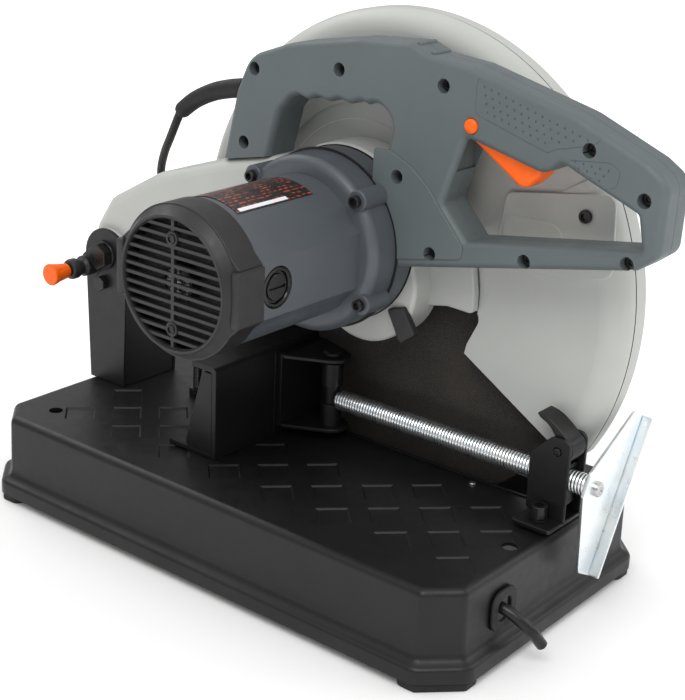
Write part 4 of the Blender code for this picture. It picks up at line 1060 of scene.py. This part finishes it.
def make_handle():
    """Two shells split along the middle, cut round the motor, with the trigger's pocket and sunk screws."""
    x0, x2 = HANDLE_LEFT, HANDLE_RIGHT
    whole = plate(handle_outline(), x0, x2, "X", 5, [grip_opening()], steps=6)
    pocket = [(-194, 310), (-194, 336), (-145, 350), (-136, 350), (-124, 338), (-124, 310)]
    cut(whole, plate(pocket, x0 + 4.5, x2 - 4.5, "X"))
    swell = rounded([(-74, 316, 4), (-92.6, 308, 8), (-108, 296, 8), (-118.9, 283, 6), (-138.4, 261.6, 3),
                     (-137, 252.5, 3), (-60, 236, 2), (-60, 316, 2)])
    join(whole, plate(swell, x0 - 1.2, x0 + 0.8, "X", 0.7))
    cut(whole, rod((x0 - 5, *MOTOR), "X", 60, 66, sides=144))
    cut(whole, plate([(20, 295.2), (100, 277.8), (100, 240), (20, 240)], x0 - 5, x2 + 5, "X"))
    ridges = [rod((x0 + 6, y, z), "X", x2 - x0 - 12, 1.7, 0.8, 20) for y, z in ((-87.5, 389), (-99, 384.2))]
    join(whole, *ridges)
    left = slab(whole, x0 - 5, HANDLE_SEAM)
    right = slab(whole, HANDLE_SEAM + 0.3, x2 + 5)
    drop(whole)
    wells = [rod((x0 - 3, y, z), "X", 12, 4.9, sides=32) for y, z in HANDLE_SCREWS]
    wells.append(rod((x0 - 3, *centre("lock_on_button").yz), "X", 20, 5.4, sides=40))
    cut(left, gather(wells))
    grooves(left, x0)
    fit("handle_shell_left", left, "grey_plastic", "arm", "handle_left", smooth=34)
    fit("handle_shell_right", right, "grey_plastic", "arm", "handle_right", smooth=34)
    for i, (y, z) in enumerate(HANDLE_SCREWS):
        head = rod((x0 + 6, y, z), "X", 3.5, 4.4, 0.6, 24)
        cut(head, plate(hexagon((y, z), 4), x0 + 5, x0 + 7.4, "X"))
        fit(f"handle_screw_{i + 1}", head, "dark_steel", "arm")


def grooves(shell, x0):
    """The thin parting grooves round the two textured patches, and the dimples inside them."""
    bigger = rounded([(-140, 377, 4), (-140, 352, 4), (-197, 336, 8), (-201, 339, 3), (-228, 346.5, 5),
                      (-236, 352, 4)], 4)
    smaller = rounded([(-204, 333.5, 2), (-241, 338, 4), (-249, 334, 3), (-247, 322, 3)], 4)
    lines = [tube([(x0 - 0.07, u, v) for u, v in path], 0.4, 1) for path in (bigger, smaller)]
    dots = []
    for row in range(4):
        for step in range(17 - row):
            u = -146 - 5.6 * step - 1.2 * row
            v = 370.5 - 5.4 * row - 0.27 * 5.6 * step
            if v > 341 + max(0, -198 - u) * 0.25:
                dots.append((u, v))
    for row in range(3):
        dots += [(-217 - 6 * step - 3 * row, 334.5 - 4 * row - 0.4 * step) for step in range(5 - row)]
    cut(shell, gather([rod((x0 - 0.5, u, v), "X", 0.95, 0.85, sides=6) for u, v in dots]), *lines)


def make_controls():
    """The wedge trigger and the lock-on button."""
    low, high = span("trigger")
    outline = rounded([(-130.5, 341, 3.2), (-136, 332.5, 4), (-141, 329.5, 6), (-173.5, 308.8, 5),
                       (-179.5, 308.8, 4), (-188.6, 317.5, 4), (-190, 325, 3.2), (-183, 330, 3.2),
                       (-150, 341, 8)])
    wedge = plate(outline, low.x, high.x, "X", 3.0, steps=5)
    fit("trigger_wedge", wedge, "orange_plastic", "trigger", "trigger")
    low, high = span("lock_on_button")
    deep = high.x - low.x
    dome = [(0, 0), (2.4, 0.15), (4.0, 0.7), (4.9, 1.8), (5.0, 2.6), (5.0, deep), (0, deep)]
    knob = turned(dome, (low.x, *centre("lock_on_button").yz), "X")
    fit("lock_on_knob", knob, "orange_plastic", "lock_button", "lock_on_button")


def make_cord():
    """The tapered strain relief and the cord's first length."""
    path = smooth_path([(4, 74.5, 334), (4, 90, 331), (4, 107, 326), (4.5, 126, 317), (5, 142, 305.5)], 8)
    sizes = [7.4 - i / len(path) for i in range(len(path))]
    sizes[-1] -= 0.8
    fit("strain_relief", tube(path, sizes, 8), "rubber", "arm", "cord_boot", smooth=50)
    lead = smooth_path([(5.4, 143.4, 304), (7.8, 149.5, 296), (14, 162, 281), (25, 180, 263), (37, 196, 244),
                        (46, 204, 226), (49, 205, 206)], 10)
    fit("mains_cord", tube(lead, 3.4, 6), "rubber", "arm", "power_cord", smooth=50)


# ------------ what stays from the CAD

def dress_cad():
    """Gives every CAD node that still shows its own finish, by its record slot."""
    slots = {s["node"]: s["material_slot"] for s in frame["record"]["subparts"]}
    for name, thing in frame["nodes"].items():
        thing.data.materials.clear()
        thing.data.materials.append(PAINTS[slots[name]])


# ------------ studio

def make_camera():
    """A long lens at the corner between the motor side and the front, a little above."""
    place = Vector((-831.8, -680.3, 551.9)) * MM + MIDDLE
    yaw, pitch, roll = radians(52.01), radians(20.57), radians(2.59)
    data = bpy.data.cameras.new("camera")
    data.lens = 78.35
    camera = link("camera", data)
    forward = Vector((sin(yaw) * cos(pitch), cos(yaw) * cos(pitch), -sin(pitch)))
    level = Vector((cos(yaw), -sin(yaw), 0))
    upright = level.cross(forward)
    right = level * cos(roll) + upright * sin(roll)
    up = upright * cos(roll) - level * sin(roll)
    turn = Matrix((right, up, -forward)).transposed().to_4x4()
    camera.matrix_world = Matrix.Translation(place) @ turn
    bpy.context.scene.camera = camera


def add_light(name, place, aim, size, power):
    """A soft white lamp that faces a height above the middle of the base, all in metres and watts."""
    data = bpy.data.lights.new(name, "AREA")
    data.shape = "RECTANGLE"
    data.size, data.size_y = size
    data.energy = power
    lamp = link(name, data)
    lamp.location = place
    lamp.rotation_mode = "QUATERNION"
    lamp.rotation_quaternion = (Vector((0, 0, aim)) - Vector(place)).to_track_quat("-Z", "Y")


def make_air():
    """A sky that is bright overhead and dim at the horizon, but looks white behind the saw."""
    world = bpy.data.worlds.new("studio_air")
    world.use_nodes = True
    tree = world.node_tree
    place = tree.nodes.new("ShaderNodeTexCoord")
    parts = tree.nodes.new("ShaderNodeSeparateXYZ")
    path = tree.nodes.new("ShaderNodeLightPath")
    tree.links.new(place.outputs["Generated"], parts.inputs["Vector"])
    height = add_range(tree, parts.outputs["Z"], 0, 1, -0.1, 0.85)
    shade = add_mix(tree, height, (0.2, 0.2, 0.21), (0.95, 0.95, 0.94))
    shade = add_mix(tree, path.outputs["Is Camera Ray"], shade, (1.0, 1.0, 1.0))
    tree.links.new(shade, tree.nodes["Background"].inputs["Color"])
    return world


def make_floor():
    """A wide sheet of pale paper that glows a little away from the machine, so that it has no horizon."""
    bm = bmesh.new()
    bmesh.ops.create_grid(bm, x_segments=1, y_segments=1, size=60)
    mesh = bpy.data.meshes.new("studio_floor")
    bm.to_mesh(mesh)
    bm.free()
    paper, tree, shader = new_material("studio_paper", (0.9, 0.9, 0.9), 0.9)
    shade = add_mix(tree, add_noise(tree, 300, 2), (0.89, 0.89, 0.89), (0.91, 0.91, 0.91))
    tree.links.new(shade, shader.inputs["Base Color"])
    away = tree.nodes.new("ShaderNodeVectorMath")
    away.operation = "LENGTH"
    tree.links.new(own_space(tree), away.inputs[0])
    glow = add_range(tree, away.outputs["Value"], 0.04, 0.42, 0.22, 0.9)
    shader.inputs["Emission Color"].default_value = (1, 1, 1, 1)
    tree.links.new(glow, shader.inputs["Emission Strength"])
    mesh.materials.append(paper)
    link("studio_floor", mesh)


def make_studio():
    make_floor()
    bpy.context.scene.world = make_air()
    add_light("key", (-1.3, -0.9, 2.0), 0.2, (1.6, 1.2), 27)
    add_light("side", (1.4, -1.6, 1.2), 0.2, (1.4, 1.4), 9)
    add_light("rear", (0.2, 1.8, 1.6), 0.3, (1.6, 1.0), 10)
    bpy.context.scene.view_settings.view_transform = "Standard"


dress_cad()
make_base()
make_feet()
make_pivot_bracket()
make_pivot_hardware()
make_lock_pin()
make_fence()
make_storage()
make_vise_bracket()
make_lever()
make_vise_screw()
make_jaw()
make_arm()
make_depth_stop()
make_fixed_guard()
make_front_guard()
make_motor_body()
make_gear_housing()
make_motor_cap()
make_brush_caps()
make_label()
make_wheel()
make_handle()
make_controls()
make_cord()
make_camera()
make_studio()
